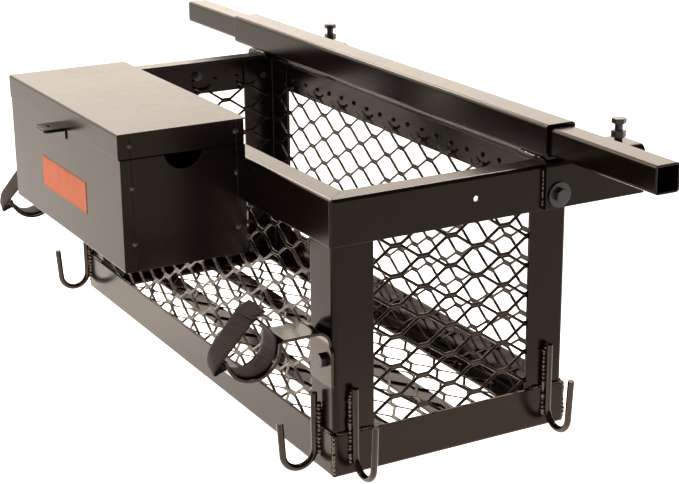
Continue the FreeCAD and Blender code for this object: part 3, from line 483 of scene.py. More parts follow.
class Finish(Enum):
    """Every finish on the carrier, by the record's slot or the piece it is for."""

    FRAME = PowderCoat("frame_paint")
    BAR = PowderCoat("bar_paint", roughness=0.17, dusting=0.04)
    # The mesh strands get a brighter painted highlight along their edges.
    MESH = PowderCoat("mesh_paint", base=(0.008, 0.0055, 0.0042), painted_edge_highlight=(0.11, 0.09, 0.07), roughness=0.22,
                      edge=0.0007, gloss=0.5)
    HOOK = PowderCoat("hook_paint", roughness=0.15, edge=0.0009, gloss=0.4)
    BEAD = PowderCoat("weld_paint", roughness=0.09, peel=0.0016, edge=0.0006, grain=210.0, gloss=0.85)
    TOOLBOX = PowderCoat("toolbox_paint", base=(0.0034, 0.0021, 0.0017), roughness=0.22, peel=0.00014,
                         edge=0.0011, dusting=0.02)
    HARDWARE = BlackOxide()
    LABEL = OrangePlate()
    WEBBING = Webbing()
    TAB = TabPlastic()
    FLOOR = PaleFloor()


SLOT_FINISH = {
    "frame_paint": Finish.FRAME,
    "bar_paint": Finish.BAR,
    "mesh_paint": Finish.MESH,
    "hook_paint": Finish.HOOK,
    "toolbox_paint": Finish.TOOLBOX,
    "hardware": Finish.HARDWARE,
    "label": Finish.LABEL,
    "webbing": Finish.WEBBING,
}


class PaintShop:
    """Keeps one material for each finish."""

    def __init__(self) -> None:
        """Starts with no materials."""
        self.made: dict[Finish, bpy.types.Material] = {}

    def coat(self, finish: Finish) -> bpy.types.Material:
        """The material of a finish, made when it is first wanted.

        Args:
            finish: Which finish.

        Returns:
            Its material.
        """
        if finish not in self.made:
            self.made[finish] = finish.value.material()
        return self.made[finish]

    def dress_frame(self, frame: Mapping[str, object]) -> None:
        """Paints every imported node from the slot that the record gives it.
        """
        for part in frame["record"]["subparts"]:
            mesh = frame["nodes"][part["node"]].data
            paint = self.coat(SLOT_FINISH[part["material_slot"]])
            if not mesh.materials:
                mesh.materials.append(paint)
            for index in range(len(mesh.materials)):
                mesh.materials[index] = paint


@dataclass
class Lumps:
    """Vertices and faces that are gathered for one mesh."""

    points: list[np.ndarray] = field(default_factory=list)
    faces: list[tuple[int, ...]] = field(default_factory=list)
    flat: list[np.ndarray] = field(default_factory=list)
    count: int = 0

    def skin(self, rings: np.ndarray, closed: bool = False, flat: np.ndarray | None = None) -> None:
        """Skins a row of rings with quads.

        Args:
            rings: Points as (ring, corner, xyz).
            closed: Whether the last ring joins the first; if not, the ends are filled.
            flat: UV places as (ring, corner, uv), or none.
        """
        total, corners = rings.shape[:2]
        start = self.count
        self.points.append(rings.reshape(-1, 3))
        self.flat.append(np.zeros((total * corners, 2)) if flat is None else flat.reshape(-1, 2))
        for ring in range(total if closed else total - 1):
            low, high = start + ring * corners, start + (ring + 1) % total * corners
            for corner in range(corners):
                beside = (corner + 1) % corners
                self.faces.append((low + corner, low + beside, high + beside, high + corner))
        if not closed:
            last = start + (total - 1) * corners
            self.faces.append(tuple(range(start + corners - 1, start - 1, -1)))
            self.faces.append(tuple(range(last, last + corners)))
        self.count += total * corners

    def build(self, name: str, material: bpy.types.Material, smooth: float = 40.0) -> bpy.types.Object:
        """Turns the gathered faces into an object.

        Args:
            name: The object's name.
            material: Its material.
            smooth: Edges sharper than this angle, in degrees, stay sharp.

        Returns:
            The object, linked to the scene.
        """
        mesh = bpy.data.meshes.new(name)
        mesh.from_pydata(np.concatenate(self.points).tolist(), [], self.faces)
        places = np.concatenate(self.flat)
        layer = mesh.uv_layers.new(name="UVMap")
        corner_points = np.empty(len(mesh.loops), dtype=np.int32)
        mesh.loops.foreach_get("vertex_index", corner_points)
        layer.data.foreach_set("uv", places[corner_points].astype(np.float32).ravel())
        mesh.materials.append(material)
        mesh.validate()
        mesh.shade_smooth()
        mesh.set_sharp_from_angle(angle=math.radians(smooth))
        thing = bpy.data.objects.new(name, mesh)
        bpy.context.scene.collection.objects.link(thing)
        return thing


def place_on(thing: bpy.types.Object, body: str, replaces: Sequence[str] = ()) -> bpy.types.Object:
    """Fixes a finished piece to its body and reports it.

    Args:
        thing: The piece.
        body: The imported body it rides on.
        replaces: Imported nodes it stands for.

    Returns:
        The same piece.
    """
    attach(thing, body)
    if replaces:
        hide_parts(*replaces)
    LOG.info("%s: %d faces on %s", thing.name, len(thing.data.polygons), body)
    return thing


def rounded_path(points: np.ndarray, share: float) -> np.ndarray:
    """Cuts a path's corners.

    Args:
        points: The path, one point a row.
        share: How much of each run a cut takes.

    Returns:
        The softer path.
    """
    before, after = points[:-1], points[1:]
    pairs = np.stack([before + (after - before) * share, after - (after - before) * share], axis=1)
    return np.vstack([points[:1], pairs.reshape(-1, points.shape[1]), points[-1:]])


def even_curve(points: Sequence[Sequence[float]], count: int, closed: bool = False) -> np.ndarray:
    """A smooth curve through points, sampled evenly along its length.

    Args:
        points: The points it passes through.
        count: How many samples.
        closed: Whether it joins up.

    Returns:
        The samples, one a row.
    """
    knots = np.array(points, float)
    if closed:
        ring = np.vstack([knots[-1:], knots, knots[:2]])
    else:
        ring = np.vstack([2 * knots[:1] - knots[1:2], knots, 2 * knots[-1:] - knots[-2:-1]])
    fine = []
    for p0, p1, p2, p3 in zip(ring[:-3], ring[1:-2], ring[2:-1], ring[3:]):
        for t in np.linspace(0, 1, 24, endpoint=False):
            fine.append(0.5 * (2 * p1 + (p2 - p0) * t + (2 * p0 - 5 * p1 + 4 * p2 - p3) * t * t
                               + (3 * p1 - p0 - 3 * p2 + p3) * t ** 3))
    fine.append(knots[0] if closed else knots[-1])
    fine = np.array(fine)
    run = np.concatenate([[0], np.cumsum(np.linalg.norm(np.diff(fine, axis=0), axis=1))])
    wanted = np.linspace(0, run[-1], count, endpoint=not closed)
    return np.stack([np.interp(wanted, run, fine[:, axis]) for axis in range(fine.shape[1])], axis=1)


@dataclass
class RaisedPanel:
    """One panel of raised expanded metal: tilted strands that zigzag from bond to bond."""

    node: str
    along: Vector
    up: Vector
    bond: tuple[float, float]
    lean: float = -1.0
    long_pitch: float = 0.0887
    short_pitch: float = 0.04405
    bond_length: float = 0.0175
    strand_width: float = 0.0044
    strand_sheet: float = 0.0021
    bond_height: float = 0.0070
    chamfer: float = 0.0004
    softening: float = 0.12
    finest_step: float = 0.006
    edge_share: float = 0.45
    tilt: float = 30.0
    bond_tilt: float = 12.0
    gaps: tuple[tuple[float, float, float], ...] = ()

    def section(self, tilt: float) -> np.ndarray:
        """The strand's cross-section, with small chamfers.

        Args:
            tilt: How far it leans out of the panel's plane, in degrees.

        Returns:
            Its corners as (in plane, out of plane).
        """
        half, thick, chamfer = self.strand_width / 2, self.strand_sheet / 2, self.chamfer
        corners = [(half - chamfer, -thick), (half, chamfer - thick), (half, thick - chamfer),
                   (half - chamfer, thick), (chamfer - half, thick), (-half, thick - chamfer),
                   (-half, chamfer - thick), (chamfer - half, -thick)]
        turn = math.radians(tilt) * self.lean
        cos, sin = math.cos(turn), math.sin(turn)
        return np.array([(a * cos - b * sin, a * sin + b * cos) for a, b in corners])

    def strand(self, row: int, left: float, right: float) -> np.ndarray:
        """The middle line of the strand that zigzags between one row of bonds and the next.

        Args:
            row: The lower row's number.
            left: Where the panel starts.
            right: Where it ends.

        Returns:
            Points as (along, up, share of a bond's flatness).
        """
        step, rise = self.long_pitch / 2, self.short_pitch / 2
        first = int((left - self.bond[0]) / step) - 2
        last = int((right - self.bond[0]) / step) + 2
        points = []
        for column in range(first, last + 1):
            middle = self.bond[0] + column * step
            if (column + row) % 2 == 0:
                level = self.bond[1] + row * rise + self.bond_height / 4
            else:
                level = self.bond[1] + (row + 1) * rise - self.bond_height / 4
            half = self.bond_length / 2
            points += [(middle - half, level, 1.0), (middle + half, level, 1.0)]
        full = []
        for before, after in zip(points[:-1], points[1:]):
            full.append(before)
            if abs(before[1] - after[1]) > 1e-6:
                for share in (0.28, 0.72):
                    full.append((before[0] + (after[0] - before[0]) * share,
                                 before[1] + (after[1] - before[1]) * share, 0.0))
        return rounded_path(np.array(full), self.softening)

    def clipped(self, path: np.ndarray, low: np.ndarray, high: np.ndarray) -> list[np.ndarray]:
        """Cuts a strand at the panel's edges and round its relief holes.

        Args:
            path: The strand's middle line.
            low: The panel's lower corner.
            high: Its upper corner.

        Returns:
            The runs that are left.
        """
        fine = [path[0]]
        for before, after in zip(path[:-1], path[1:]):
            parts = max(1, int(np.linalg.norm(after[:2] - before[:2]) / self.finest_step))
            fine += [before + (after - before) * (index + 1) / parts for index in range(parts)]
        fine = np.array(fine)
        inside = np.all((fine[:, :2] >= low) & (fine[:, :2] <= high), axis=1)
        for along, up, radius in self.gaps:
            inside &= np.hypot(fine[:, 0] - along, fine[:, 1] - up) > radius
        runs, current = [], []
        for index, keep in enumerate(inside):
            if keep:
                current.append(index)
            if (not keep or index == len(inside) - 1) and current:
                if len(current) > 2:
                    runs.append(fine[current])
                current = []
        return runs

    def build(self, paint: bpy.types.Material) -> bpy.types.Object:
        """Makes the panel's mesh.

        Args:
            paint: Its material.

        Returns:
            The panel.
        """
        corner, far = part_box(self.node)
        out = self.along.cross(self.up)
        middle = (corner + far) / 2
        base = middle - self.along * middle.dot(self.along) - self.up * middle.dot(self.up)
        spans = [sorted((corner.dot(axis), far.dot(axis))) for axis in (self.along, self.up)]
        low, high = np.array(spans).T
        steep, shallow = self.section(self.tilt), self.section(self.bond_tilt)
        axes = [np.array(axis) for axis in (self.along, self.up, out)]
        lumps = Lumps()
        rise = self.short_pitch / 2
        first = int((low[1] - self.bond[1]) / rise) - 2
        last = int((high[1] - self.bond[1]) / rise) + 2
        margin = self.strand_width * self.edge_share * np.array([0.2, 1])
        for row in range(first, last + 1):
            path = self.strand(row, low[0], high[0])
            for run in self.clipped(path, low + margin, high - margin):
                steps = np.diff(run[:, :2], axis=0)
                steps /= np.linalg.norm(steps, axis=1)[:, None]
                ahead = np.vstack([steps, steps[-1:]])
                behind = np.vstack([steps[:1], steps])
                mean = ahead + behind
                mean /= np.linalg.norm(mean, axis=1)[:, None]
                stretch = 1 / np.clip(np.sum(mean * ahead, axis=1), 0.6, 1)
                flat = run[:, 2][:, None, None]
                shape = steep[None] * (1 - flat) + shallow[None] * flat
                side = shape[:, :, 0] * stretch[:, None]
                along = run[:, 0][:, None] - mean[:, 1][:, None] * side
                up = run[:, 1][:, None] + mean[:, 0][:, None] * side
                rings = (np.array(base)[None, None] + along[..., None] * axes[0] + up[..., None] * axes[1]
                         + shape[:, :, 1][..., None] * axes[2])
                lumps.skin(rings)
        return place_on(lumps.build(f"raised_{self.node}", paint, 35.0), ROOT_BODY, [self.node])


@dataclass
class WeldBeads:
    """Lumpy weld beads and round tack welds, gathered into one mesh."""

    name: str
    ripple: float = 0.0062
    core: float = 0.62
    uneven: float = 0.25
    wander: float = 0.30
    lumps: Lumps = field(default_factory=Lumps)
    seed: int = 7

    def bead(self, start: Sequence[float], end: Sequence[float], radius: float, lump: float = 0.28) -> None:
        """Lays one bead from point to point.

        Args:
            start: Its start, in metres.
            end: Its end.
            radius: Its mean radius.
            lump: How uneven it is.
        """
        rng = np.random.default_rng(self.seed)
        self.seed += 1
        begin, finish = np.array(start, float), np.array(end, float)
        length = float(np.linalg.norm(finish - begin))
        axis = (finish - begin) / length
        side = np.cross(axis, [0.31, 0.22, 0.92])
        side /= np.linalg.norm(side)
        other = np.cross(axis, side)
        knots = max(4, int(length / self.ripple) + 1)
        count = knots * 6
        share = np.linspace(0, 1, count)
        beat = np.linspace(0, 1, knots)
        swell = np.abs(np.sin(math.pi * share * (knots - 1))) ** 0.7
        slow = np.interp(share, beat, rng.uniform(-1, 1, knots))
        ends = np.sqrt(np.clip(1 - (2 * np.abs(share - 0.5)) ** 8, 0.02, 1))
        height = np.interp(share, beat, rng.uniform(0.15, 1.5, knots))
        radii = radius * (self.core + lump * swell * height + self.uneven * slow) * ends
        turns = np.linspace(0, 2 * math.pi, 12, endpoint=False)
        wobble = radius * self.wander * np.interp(share, beat, rng.uniform(-1, 1, knots))
        middle = begin + (finish - begin) * share[:, None] + side * wobble[:, None]
        rings = (middle[:, None] + radii[:, None, None]
                 * (np.cos(turns)[None, :, None] * side + np.sin(turns)[None, :, None] * other))
        self.lumps.skin(rings)

    def tack(self, place: Sequence[float], facing: Sequence[float], radius: float, height: float) -> None:
        """Puts one round tack weld on a face.

        Args:
            place: Its centre on the face.
            facing: The face's outward direction.
            radius: Its radius.
            height: How far it stands out.
        """
        rng = np.random.default_rng(self.seed)
        self.seed += 1
        out = np.array(facing, float)
        side = np.cross(out, [0.3, 0.5, 0.81])
        side /= np.linalg.norm(side)
        other = np.cross(out, side)
        turns = np.linspace(0, 2 * math.pi, 14, endpoint=False)
        uneven = 1 + sum(size * np.sin(turns * waves + rng.uniform(0, 6))
                         for size, waves in ((0.12, 2), (0.07, 3)))
        rings = []
        for lift in (-0.15, 0.0, 0.35, 0.68, 0.90, 0.985):
            wide = radius * math.sqrt(max(0.0, 1 - max(0.0, lift) ** 2)) * uneven
            rings.append(np.array(place) + out * height * lift
                         + wide[:, None] * (np.cos(turns)[:, None] * side + np.sin(turns)[:, None] * other))
        self.lumps.skin(np.array(rings))

    def build(self, paint: bpy.types.Material, slot: str) -> bpy.types.Object:
        """Makes the mesh of every bead so far.

        Args:
            paint: Its material.
            slot: The record's slot; not used.

        Returns:
            The welds.
        """
        return place_on(self.lumps.build(self.name, paint, 60.0), ROOT_BODY)


@dataclass
class StrapLoop:
    """One cradle's webbing: a ribbed loop, a folded end and a smooth tab."""

    side: str
    width: float = 0.038
    sheet: float = 0.0019
    rib_pitch: float = Finish.WEBBING.value.pitch
    rib_height: float = 0.0005
    bowl: float = 0.0362
    centre_behind: float = 0.042
    centre_below: float = 0.009

    def centre(self) -> Vector:
        """The cradle's U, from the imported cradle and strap.

        Returns:
            The U's centre.
        """
        cradle_low, cradle_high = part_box(f"cradle_{self.side}")
        strap_low, strap_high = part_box(f"strap_{self.side}")
        return Vector(((strap_low.x + strap_high.x) / 2, cradle_low.y + self.centre_behind,
                       cradle_high.z - self.centre_below))

    def band(self, lumps: Lumps, near: Sequence[Sequence[float]], far: Sequence[Sequence[float]],
             closed: bool, ribs: float = 1.0, taper: float = 0.0) -> None:
        """Adds a band between two edges.

        Args:
            lumps: The mesh that is being gathered.
            near: The edge towards the carrier's right end, as (across shift, y, z) in metres from the U.
            far: The other edge.
            closed: Whether the band joins up.
            ribs: The share of the ribs' height.
            taper: The length over which the end is rounded off.
        """
        rough = np.array(near, float)
        length = float(np.sum(np.linalg.norm(np.diff(rough, axis=0), axis=1)))
        count = max(12, int(length / self.rib_pitch * 8))
        both = even_curve(np.hstack([np.array(near, float), np.array(far, float)]), count, closed)
        edge_a, edge_b = both[:, :3], both[:, 3:]
        middle = (edge_a + edge_b) / 2
        run = np.concatenate([[0], np.cumsum(np.linalg.norm(np.diff(middle, axis=0), axis=1))])
        across = edge_a - edge_b
        wide = np.linalg.norm(across, axis=1)
        across /= wide[:, None]
        if closed:
            ahead = np.roll(middle, -1, axis=0) - np.roll(middle, 1, axis=0)
        else:
            ahead = np.gradient(middle, axis=0)
        ahead /= np.linalg.norm(ahead, axis=1)[:, None]
        out = np.cross(ahead, across)
        out /= np.linalg.norm(out, axis=1)[:, None]
        shrink = np.ones(count)
        if taper:
            rest = np.clip((run[-1] - run) / taper, 0, 1)
            shrink = np.sqrt(np.clip(1 - (1 - rest) ** 2, 0.003, 1))
        stations = np.array([-1, -0.97, -0.8, -0.4, 0, 0.4, 0.8, 0.97, 1])
        crown = np.array([0.35, 0.85, 1, 1, 1, 1, 1, 0.85, 0.35])
        ridge = (0.5 + 0.5 * np.cos(2 * math.pi * run / self.rib_pitch)) * ribs * self.rib_height
        rings, flat = [], []
        for side, order in ((1, slice(None)), (-1, slice(None, None, -1))):
            spots, lift = stations[order], crown[order]
            shift = (wide * shrink / 2)[:, None] * spots[None]
            ribbed = ridge[:, None] * lift[None] * (np.abs(spots)[None] < 0.9)
            thick = side * (self.sheet / 2 * lift[None] + ribbed)
            rings.append(middle[:, None] + shift[..., None] * across[:, None]
                         + thick[..., None] * out[:, None])
            flat.append(np.stack([np.broadcast_to(run[:, None], shift.shape), shift], axis=-1))
        centre = np.array(self.centre())
        lumps.skin(np.concatenate(rings, axis=1) + centre, closed, flat=np.concatenate(flat, axis=1))

    def edge(self, across: float, places: Sequence[tuple[float, float]]) -> list[Place]:
        """Places on one side of the band.

        Args:
            across: The side, as a shift along the carrier.
            places: Each place as (y, z) from the U.

        Returns:
            The places with the shift put in front.
        """
        return [(across, *place) for place in places]

    def loop_edges(self) -> tuple[list[Place], list[Place]]:
        """The two edges of the loop, which twists a little between the slot and the top.

        Returns:
            The near and the far edge.
        """
        half = self.width / 2
        near = self.edge(half, [
            (0.0355, 0.0120), (0.0270, 0.0260), (0.0165, 0.0360), (0.0060, 0.0415), (-0.0130, 0.0228),
            (-0.0330, 0.0024), (-0.0500, -0.0146), (-0.0547, -0.0224), (-0.0525, -0.0245),
            (-0.0450, -0.0215)])
        far = self.edge(-half, [
            (0.0355, 0.0120), (0.0270, 0.0280), (0.0120, 0.0420), (-0.0020, 0.0465), (-0.0160, 0.0315),
            (-0.0300, 0.0150), (-0.0427, -0.0009), (-0.0462, -0.0120), (-0.0470, -0.0200),
            (-0.0440, -0.0205)])
        for turn in np.linspace(210, 354, 12):
            angle = math.radians(turn)
            point = (self.bowl * math.cos(angle), self.bowl * math.sin(angle))
            near.append((half, *point))
            far.append((-half, *point))
        return near, far

    def build(self, shop: PaintShop) -> None:
        """Makes the loop with its folded end, and the tab.

        Args:
            shop: Where the materials come from.
        """
        half = self.width / 2
        cloth = Lumps()
        near, far = self.loop_edges()
        self.band(cloth, near, far, True)
        fold_near = self.edge(half, [(0.0040, 0.0440), (0.0048, 0.0470), (0.0130, 0.0492), (0.0230, 0.0505)])
        fold_far = self.edge(-half, [(-0.0050, 0.0455), (-0.0034, 0.0485), (0.0065, 0.0532),
                                     (0.0168, 0.0575)])
        self.band(cloth, fold_near, fold_far, False, 0.9)
        loop = cloth.build(f"webbing_{self.side}", shop.coat(Finish.WEBBING), 50.0)
        place_on(loop, ROOT_BODY, [f"strap_{self.side}"])
        smooth = Lumps()
        tab_near = self.edge(half, [(0.003, 0.0452), (0.012, 0.0466), (0.022, 0.0450), (0.031, 0.0390),
                                    (0.038, 0.0300)])
        tab_far = [(-half, y - 0.002, z + 0.0004) for _, y, z in tab_near]
        self.band(smooth, tab_near, tab_far, False, 0.0, 0.020)
        tab = smooth.build(f"strap_tab_{self.side}", shop.coat(Finish.TAB), 50.0)
        place_on(tab, ROOT_BODY)


@dataclass
class MeshPanels:
    """The five raised mesh panels and the tack welds along their edges."""

    tack_pitch: float = 0.0443
    tack_radius: float = 0.0040
    tack_height: float = 0.004
    tack_above: float = 0.002
    tack_waver: float = 0.0015
    tack_margin: tuple[float, float] = (0.030, 0.020)
    floor_margin: tuple[float, float] = (0.040, 0.030)
    floor_edge: float = 0.012
    floor_level: float = 0.0065
    long_bond: tuple[float, float] = (0.014, 0.098)
    end_bond: tuple[float, float] = (-0.0003, 0.0979)
    floor_bond: tuple[float, float] = (0.030, 0.008)
    relief: float = 0.014
    nut_radius: float = 0.011

    def build(self, shop: PaintShop) -> None:
        """Makes every panel.

        Args:
            shop: Where the materials come from.
        """
        paint = shop.coat(Finish.MESH)
        x, y, z = Vector((1, 0, 0)), Vector((0, 1, 0)), Vector((0, 0, 1))
        nuts_low, nuts_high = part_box("cradle_nuts")
        height = (nuts_low.z + nuts_high.z) / 2
        gaps = tuple((place, height, self.relief)
                     for place in (nuts_low.x + self.nut_radius, nuts_high.x - self.nut_radius))
        floor_bond = (self.floor_bond[0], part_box("mesh_floor")[0].y + self.floor_bond[1])
        panels = [
            RaisedPanel("mesh_front", x, z, self.long_bond, gaps=gaps),
            RaisedPanel("mesh_rear", x, z, self.long_bond),
            *(RaisedPanel(f"mesh_{side}", y, z, self.end_bond) for side in ("right", "left")),
            RaisedPanel("mesh_floor", x, y, floor_bond, tilt=24.0),
        ]
        for panel in panels:
            panel.build(paint)
        self.tacks(shop)

    def tacks(self, shop: PaintShop) -> None:
        """Adds the tack welds that join the panels to the rails.

        Args:
            shop: Where the materials come from.
        """
        welds = WeldBeads("mesh_tack_welds")
        low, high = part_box("mesh_rear")
        level = high.z + self.tack_above
        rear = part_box("post_rear_right")[1].y
        place = low.x + self.tack_margin[0]
        while place < high.x - self.tack_margin[1]:
            for shift, side, beat in ((0.0, 1, 400), (0.012, -1, 300)):
                spot = (place + shift, side * rear, level + self.tack_waver * math.sin(place * beat))
                welds.tack(spot, (0, -side, 0), self.tack_radius, self.tack_height)
            place += self.tack_pitch
        side_low, side_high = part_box("mesh_right")
        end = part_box("post_rear_right")[1].x
        place = side_low.y + self.tack_margin[0]
        while place < side_high.y - self.tack_margin[1]:
            for side in (1, -1):
                spot = (side * end, place, level + self.tack_above / 2)
                welds.tack(spot, (-side, 0, 0), self.tack_radius, self.tack_height)
            place += self.tack_pitch
        floor_low, floor_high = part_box("mesh_floor")
        place = floor_low.x + self.floor_margin[0]
        while place < floor_high.x - self.floor_margin[1]:
            for edge in (floor_low.y + self.floor_edge, floor_high.y - self.floor_edge):
                welds.tack((place, edge, self.floor_level), (0, 0, 1), self.tack_radius, 0.003)
            place += self.tack_pitch * 2
        welds.build(shop.coat(Finish.FRAME), "frame_paint")


@dataclass
class FrameWelds:
    """The visible beads on hooks, brackets, the sleeve and the basket's corners."""

    hook_bead: float = 0.0036
    joint_bead: float = 0.0026
    rod: float = 0.005
    proud: float = 0.001
    inset: float = 0.003
    beside_rod: float = 1.1
    coarse: float = 0.55
    medium: float = 0.5
    end_hook: tuple[float, float] = (0.018, 0.010)
    front_hook: tuple[float, float] = (0.020, 0.012)
    end_step: tuple[float, float] = (0.050, 0.070)
    front_step: tuple[float, float] = (0.052, 0.068)
    bracket_ends: tuple[float, float] = (0.004, 0.012)
    sleeve_right: tuple[float, float] = (0.008, 0.016)
    sleeve_left: tuple[float, float] = (0.006, 0.014)
    corner_inset: float = 0.0022
    corner_foot: float = 0.004

    def hooks(self, welds: WeldBeads) -> None:
        """A long bead beside every hook's shank, and short ones at the rail's edge and the shank's top.

        Args:
            welds: The mesh that is being gathered.
        """
        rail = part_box("bottom_rail_right")[1]
        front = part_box("bottom_rail_front")[0].y
        rod = self.rod
        for node in ("hook_right_rear", "hook_right_front", "hook_left_rear", "hook_left_front"):
            low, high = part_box(node)
            sign = 1 if "right" in node else -1
            face, middle = sign * rail.x, (low.y + high.y) / 2
            place = middle - rod * self.beside_rod
            foot, short = self.end_hook
            welds.bead((face, place, foot), (face, place, high.z - short), self.hook_bead, self.coarse)
            start, stop = self.end_step
            welds.bead((face, middle + rod, start), (face, middle + rod * self.beside_rod, stop),
                       self.hook_bead * 0.8, self.coarse)
            welds.bead((face, place - 0.002, high.z - 0.013), (face, middle + rod * 0.4, high.z + self.proud),
                       self.hook_bead * 1.15, self.medium)
        for node in ("hook_front_right", "hook_front_left"):
            low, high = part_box(node)
            middle = (low.x + high.x) / 2
            place = middle + rod * self.beside_rod
            foot, short = self.front_hook
            welds.bead((place, front, foot), (place, front, high.z - short), self.hook_bead * 1.15,
                       self.coarse)
            start, stop = self.front_step
            welds.bead((middle - rod, front, start), (middle - rod, front, stop), self.hook_bead * 0.8,
                       self.medium)

    def brackets(self, welds: WeldBeads) -> None:
        """Beads along the brackets' edges on the basket, and under the sleeve.

        Args:
            welds: The mesh that is being gathered.
        """
        size = self.joint_bead
        sleeve_low, sleeve_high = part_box("bar_sleeve")
        rail_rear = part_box("top_rail_rear")[1].y
        for side, sign in (("right", 1), ("left", -1)):
            low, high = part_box(f"bracket_{side}")
            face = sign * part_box("top_rail_right")[1].x
            start, stop = self.bracket_ends
            welds.bead((face, low.y, low.z + start), (face, low.y, high.z - stop), size)
            welds.bead((face, low.y + start, low.z), (face, rail_rear - 0.002, low.z), size)
            near, away = self.sleeve_right if sign > 0 else self.sleeve_left
            inner, outer = (low.x + near, high.x - away) if sign > 0 else (high.x - near, low.x + away)
            for edge in (sleeve_low.y + self.proud, sleeve_high.y - self.proud):
                welds.bead((inner, edge, high.z), (outer, edge, high.z), size * 1.2)

    def corners(self, welds: WeldBeads) -> None:
        """Beads where the posts meet the rails.

        Args:
            welds: The mesh that is being gathered.
        """
        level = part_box("bottom_rail_front")[1].z + self.proud
        rail_x, rail_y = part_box("bottom_rail_right")[1].x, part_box("bottom_rail_rear")[1].y
        size = self.joint_bead
        for node in ("post_front_right", "post_front_left", "post_rear_right", "post_rear_left"):
            low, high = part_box(node)
            away_x, away_y = (1 if "right" in node else -1), (-1 if "front" in node else 1)
            outer_x = (high.x if away_x > 0 else low.x) + away_x * self.proud
            outer_y = (high.y if away_y > 0 else low.y) + away_y * self.proud
            for start, stop in (((low.x + self.inset, outer_y), (high.x - self.inset, outer_y)),
                                ((outer_x, low.y + self.inset), (outer_x, high.y - self.inset))):
                welds.bead((*start, level), (*stop, level), size, self.medium)
            corner = (away_x * (rail_x - self.corner_inset), away_y * (rail_y - self.corner_inset))
            welds.bead((*corner, self.corner_foot), (*corner, level), size, self.medium)

    def build(self, shop: PaintShop) -> None:
        """Makes all the beads.

        Args:
            shop: Where the materials come from.
        """
        welds = WeldBeads("hook_welds")
        self.hooks(welds)
        welds.build(shop.coat(Finish.BEAD), "hook_paint")
        joints = WeldBeads("joint_welds", seed=41)
        self.brackets(joints)
        self.corners(joints)
        joints.build(shop.coat(Finish.BEAD), "frame_paint")


@dataclass(frozen=True)
class SoftLamp:
    """One soft area light: where it hangs, what it points at, its sides in metres and its power in watts."""

    name: str
    place: Place
    target: Place
    size: tuple[float, float]
    power: float
    colour: RGB = (1.0, 0.94, 0.86)

    def hang(self) -> None:
        """Hangs the light."""
        data = bpy.data.lights.new(self.name, "AREA")
        data.shape = "RECTANGLE"
        data.size, data.size_y = self.size
        data.energy = self.power
        data.color = self.colour
        lamp = bpy.data.objects.new(self.name, data)
        lamp.location = self.place
        lamp.rotation_mode = "QUATERNION"
        lamp.rotation_quaternion = (Vector(self.target) - Vector(self.place)).to_track_quat("-Z", "Y")
        bpy.context.scene.collection.objects.link(lamp)


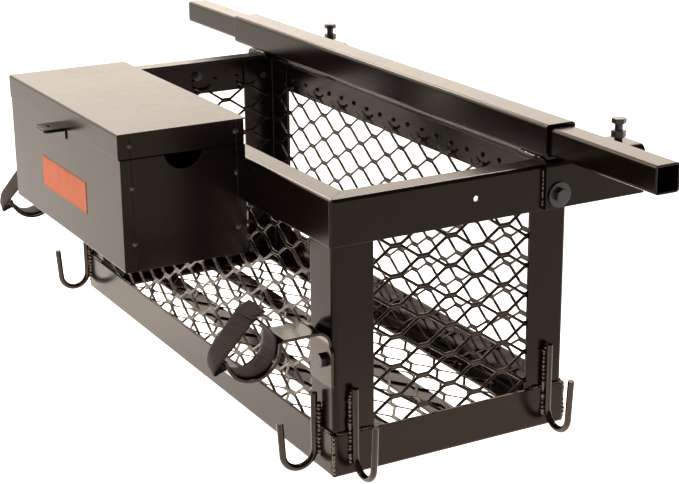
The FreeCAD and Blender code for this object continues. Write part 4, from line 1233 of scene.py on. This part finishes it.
@dataclass
class Studio:
    """Floor, soft light and camera."""

    azimuth: float = 61.0638
    elevation: float = 17.9566
    roll: float = -0.5815
    lens: float = 88.34
    camera_place: Place = (2.29128, -1.19216, 1.01808)
    floor_size: float = 14.0
    softbox: float = 2.75
    ambient: float = 0.20
    sky_colour: RGB = (1.06, 0.94, 0.80)
    sky_side: Place = (-1.0, 0.06, 0.0)
    lamps: tuple[SoftLamp, ...] = (
        SoftLamp("floor_pool", (-1.0, -1.1, 1.7), (-1.0, -1.1, 0.0), (1.3, 1.3), 44.0, (1.0, 0.80, 0.62)),
        SoftLamp("left_strip", (-2.45, 0.28, 2.15), (0.0, 0.0, 0.4), (0.8, 0.7), 27.0),
        SoftLamp("overhead", (-1.2, 1.45, 2.6), (0.0, 0.0, 0.3), (0.8, 1.5), 60.0),
    )

    def floor(self, shop: PaintShop) -> None:
        """Lays the floor just under the lowest point.

        Args:
            shop: Where the materials come from.
        """
        size = self.floor_size
        corners = [(-size, -size, 0), (size, -size, 0), (size, size, 0), (-size, size, 0)]
        mesh = bpy.data.meshes.new("studio_floor")
        mesh.from_pydata(corners, [], [(0, 1, 2, 3)])
        mesh.materials.append(shop.coat(Finish.FLOOR))
        ground = bpy.data.objects.new("studio_floor", mesh)
        ground.location.z = -0.0002
        bpy.context.scene.collection.objects.link(ground)

    def sky(self) -> None:
        """Surrounds the scene with a large soft light above and behind, and a weaker one all round."""
        world = bpy.data.worlds.new("studio_light")
        bpy.context.scene.world = world
        world.use_nodes = True
        book = NodeBook(world.node_tree)
        way = book.place("Generated")
        rise = book.axis(way, "Z")
        side = book.dot(way, self.sky_side)
        softbox = rise.between(0.02, 0.10) * (1.0 - rise.between(0.55, 0.80)) * side.between(0.25, 0.60)
        strength = softbox * self.softbox + self.ambient
        light = book.add("ShaderNodeBackground", {}, {"Color": (*self.sky_colour, 1.0), "Strength": strength})
        book.add("ShaderNodeOutputWorld", {}, {"Surface": light})

    def camera(self) -> None:
        """Sets the camera."""
        turn, lift, roll = (math.radians(value) for value in (self.azimuth, self.elevation, self.roll))
        back = Vector((math.sin(turn) * math.cos(lift), -math.cos(turn) * math.cos(lift), math.sin(lift)))
        right = Vector((0, 0, 1)).cross(back).normalized()
        up = back.cross(right)
        level = right * math.cos(roll) + up * math.sin(roll)
        rise = up * math.cos(roll) - right * math.sin(roll)
        data = bpy.data.cameras.new("camera")
        data.lens = self.lens
        data.sensor_width = 36.0
        data.clip_end = 100.0
        camera = bpy.data.objects.new("camera", data)
        axes = Matrix((level, rise, back)).transposed().to_4x4()
        camera.matrix_world = Matrix.Translation(self.camera_place) @ axes
        bpy.context.scene.collection.objects.link(camera)
        bpy.context.scene.camera = camera

    def build(self, shop: PaintShop) -> None:
        """Sets up floor, light, camera and colour handling.

        Args:
            shop: Where the materials come from.
        """
        self.floor(shop)
        self.sky()
        for lamp in self.lamps:
            lamp.hang()
        self.camera()
        view = bpy.context.scene.view_settings
        view.view_transform = "Standard"
        view.look = "None"
        LOG.info("studio ready")


def main() -> None:
    """Builds every sub-assembly's looks in order."""
    logging.basicConfig(level=logging.INFO, format="%(name)s %(message)s")
    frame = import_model()
    shop = PaintShop()
    shop.dress_frame(frame)
    MeshPanels().build(shop)
    FrameWelds().build(shop)
    for side in ("right", "left"):
        StrapLoop(side).build(shop)
    Studio().build(shop)


if __name__ == "__main__":
    main()
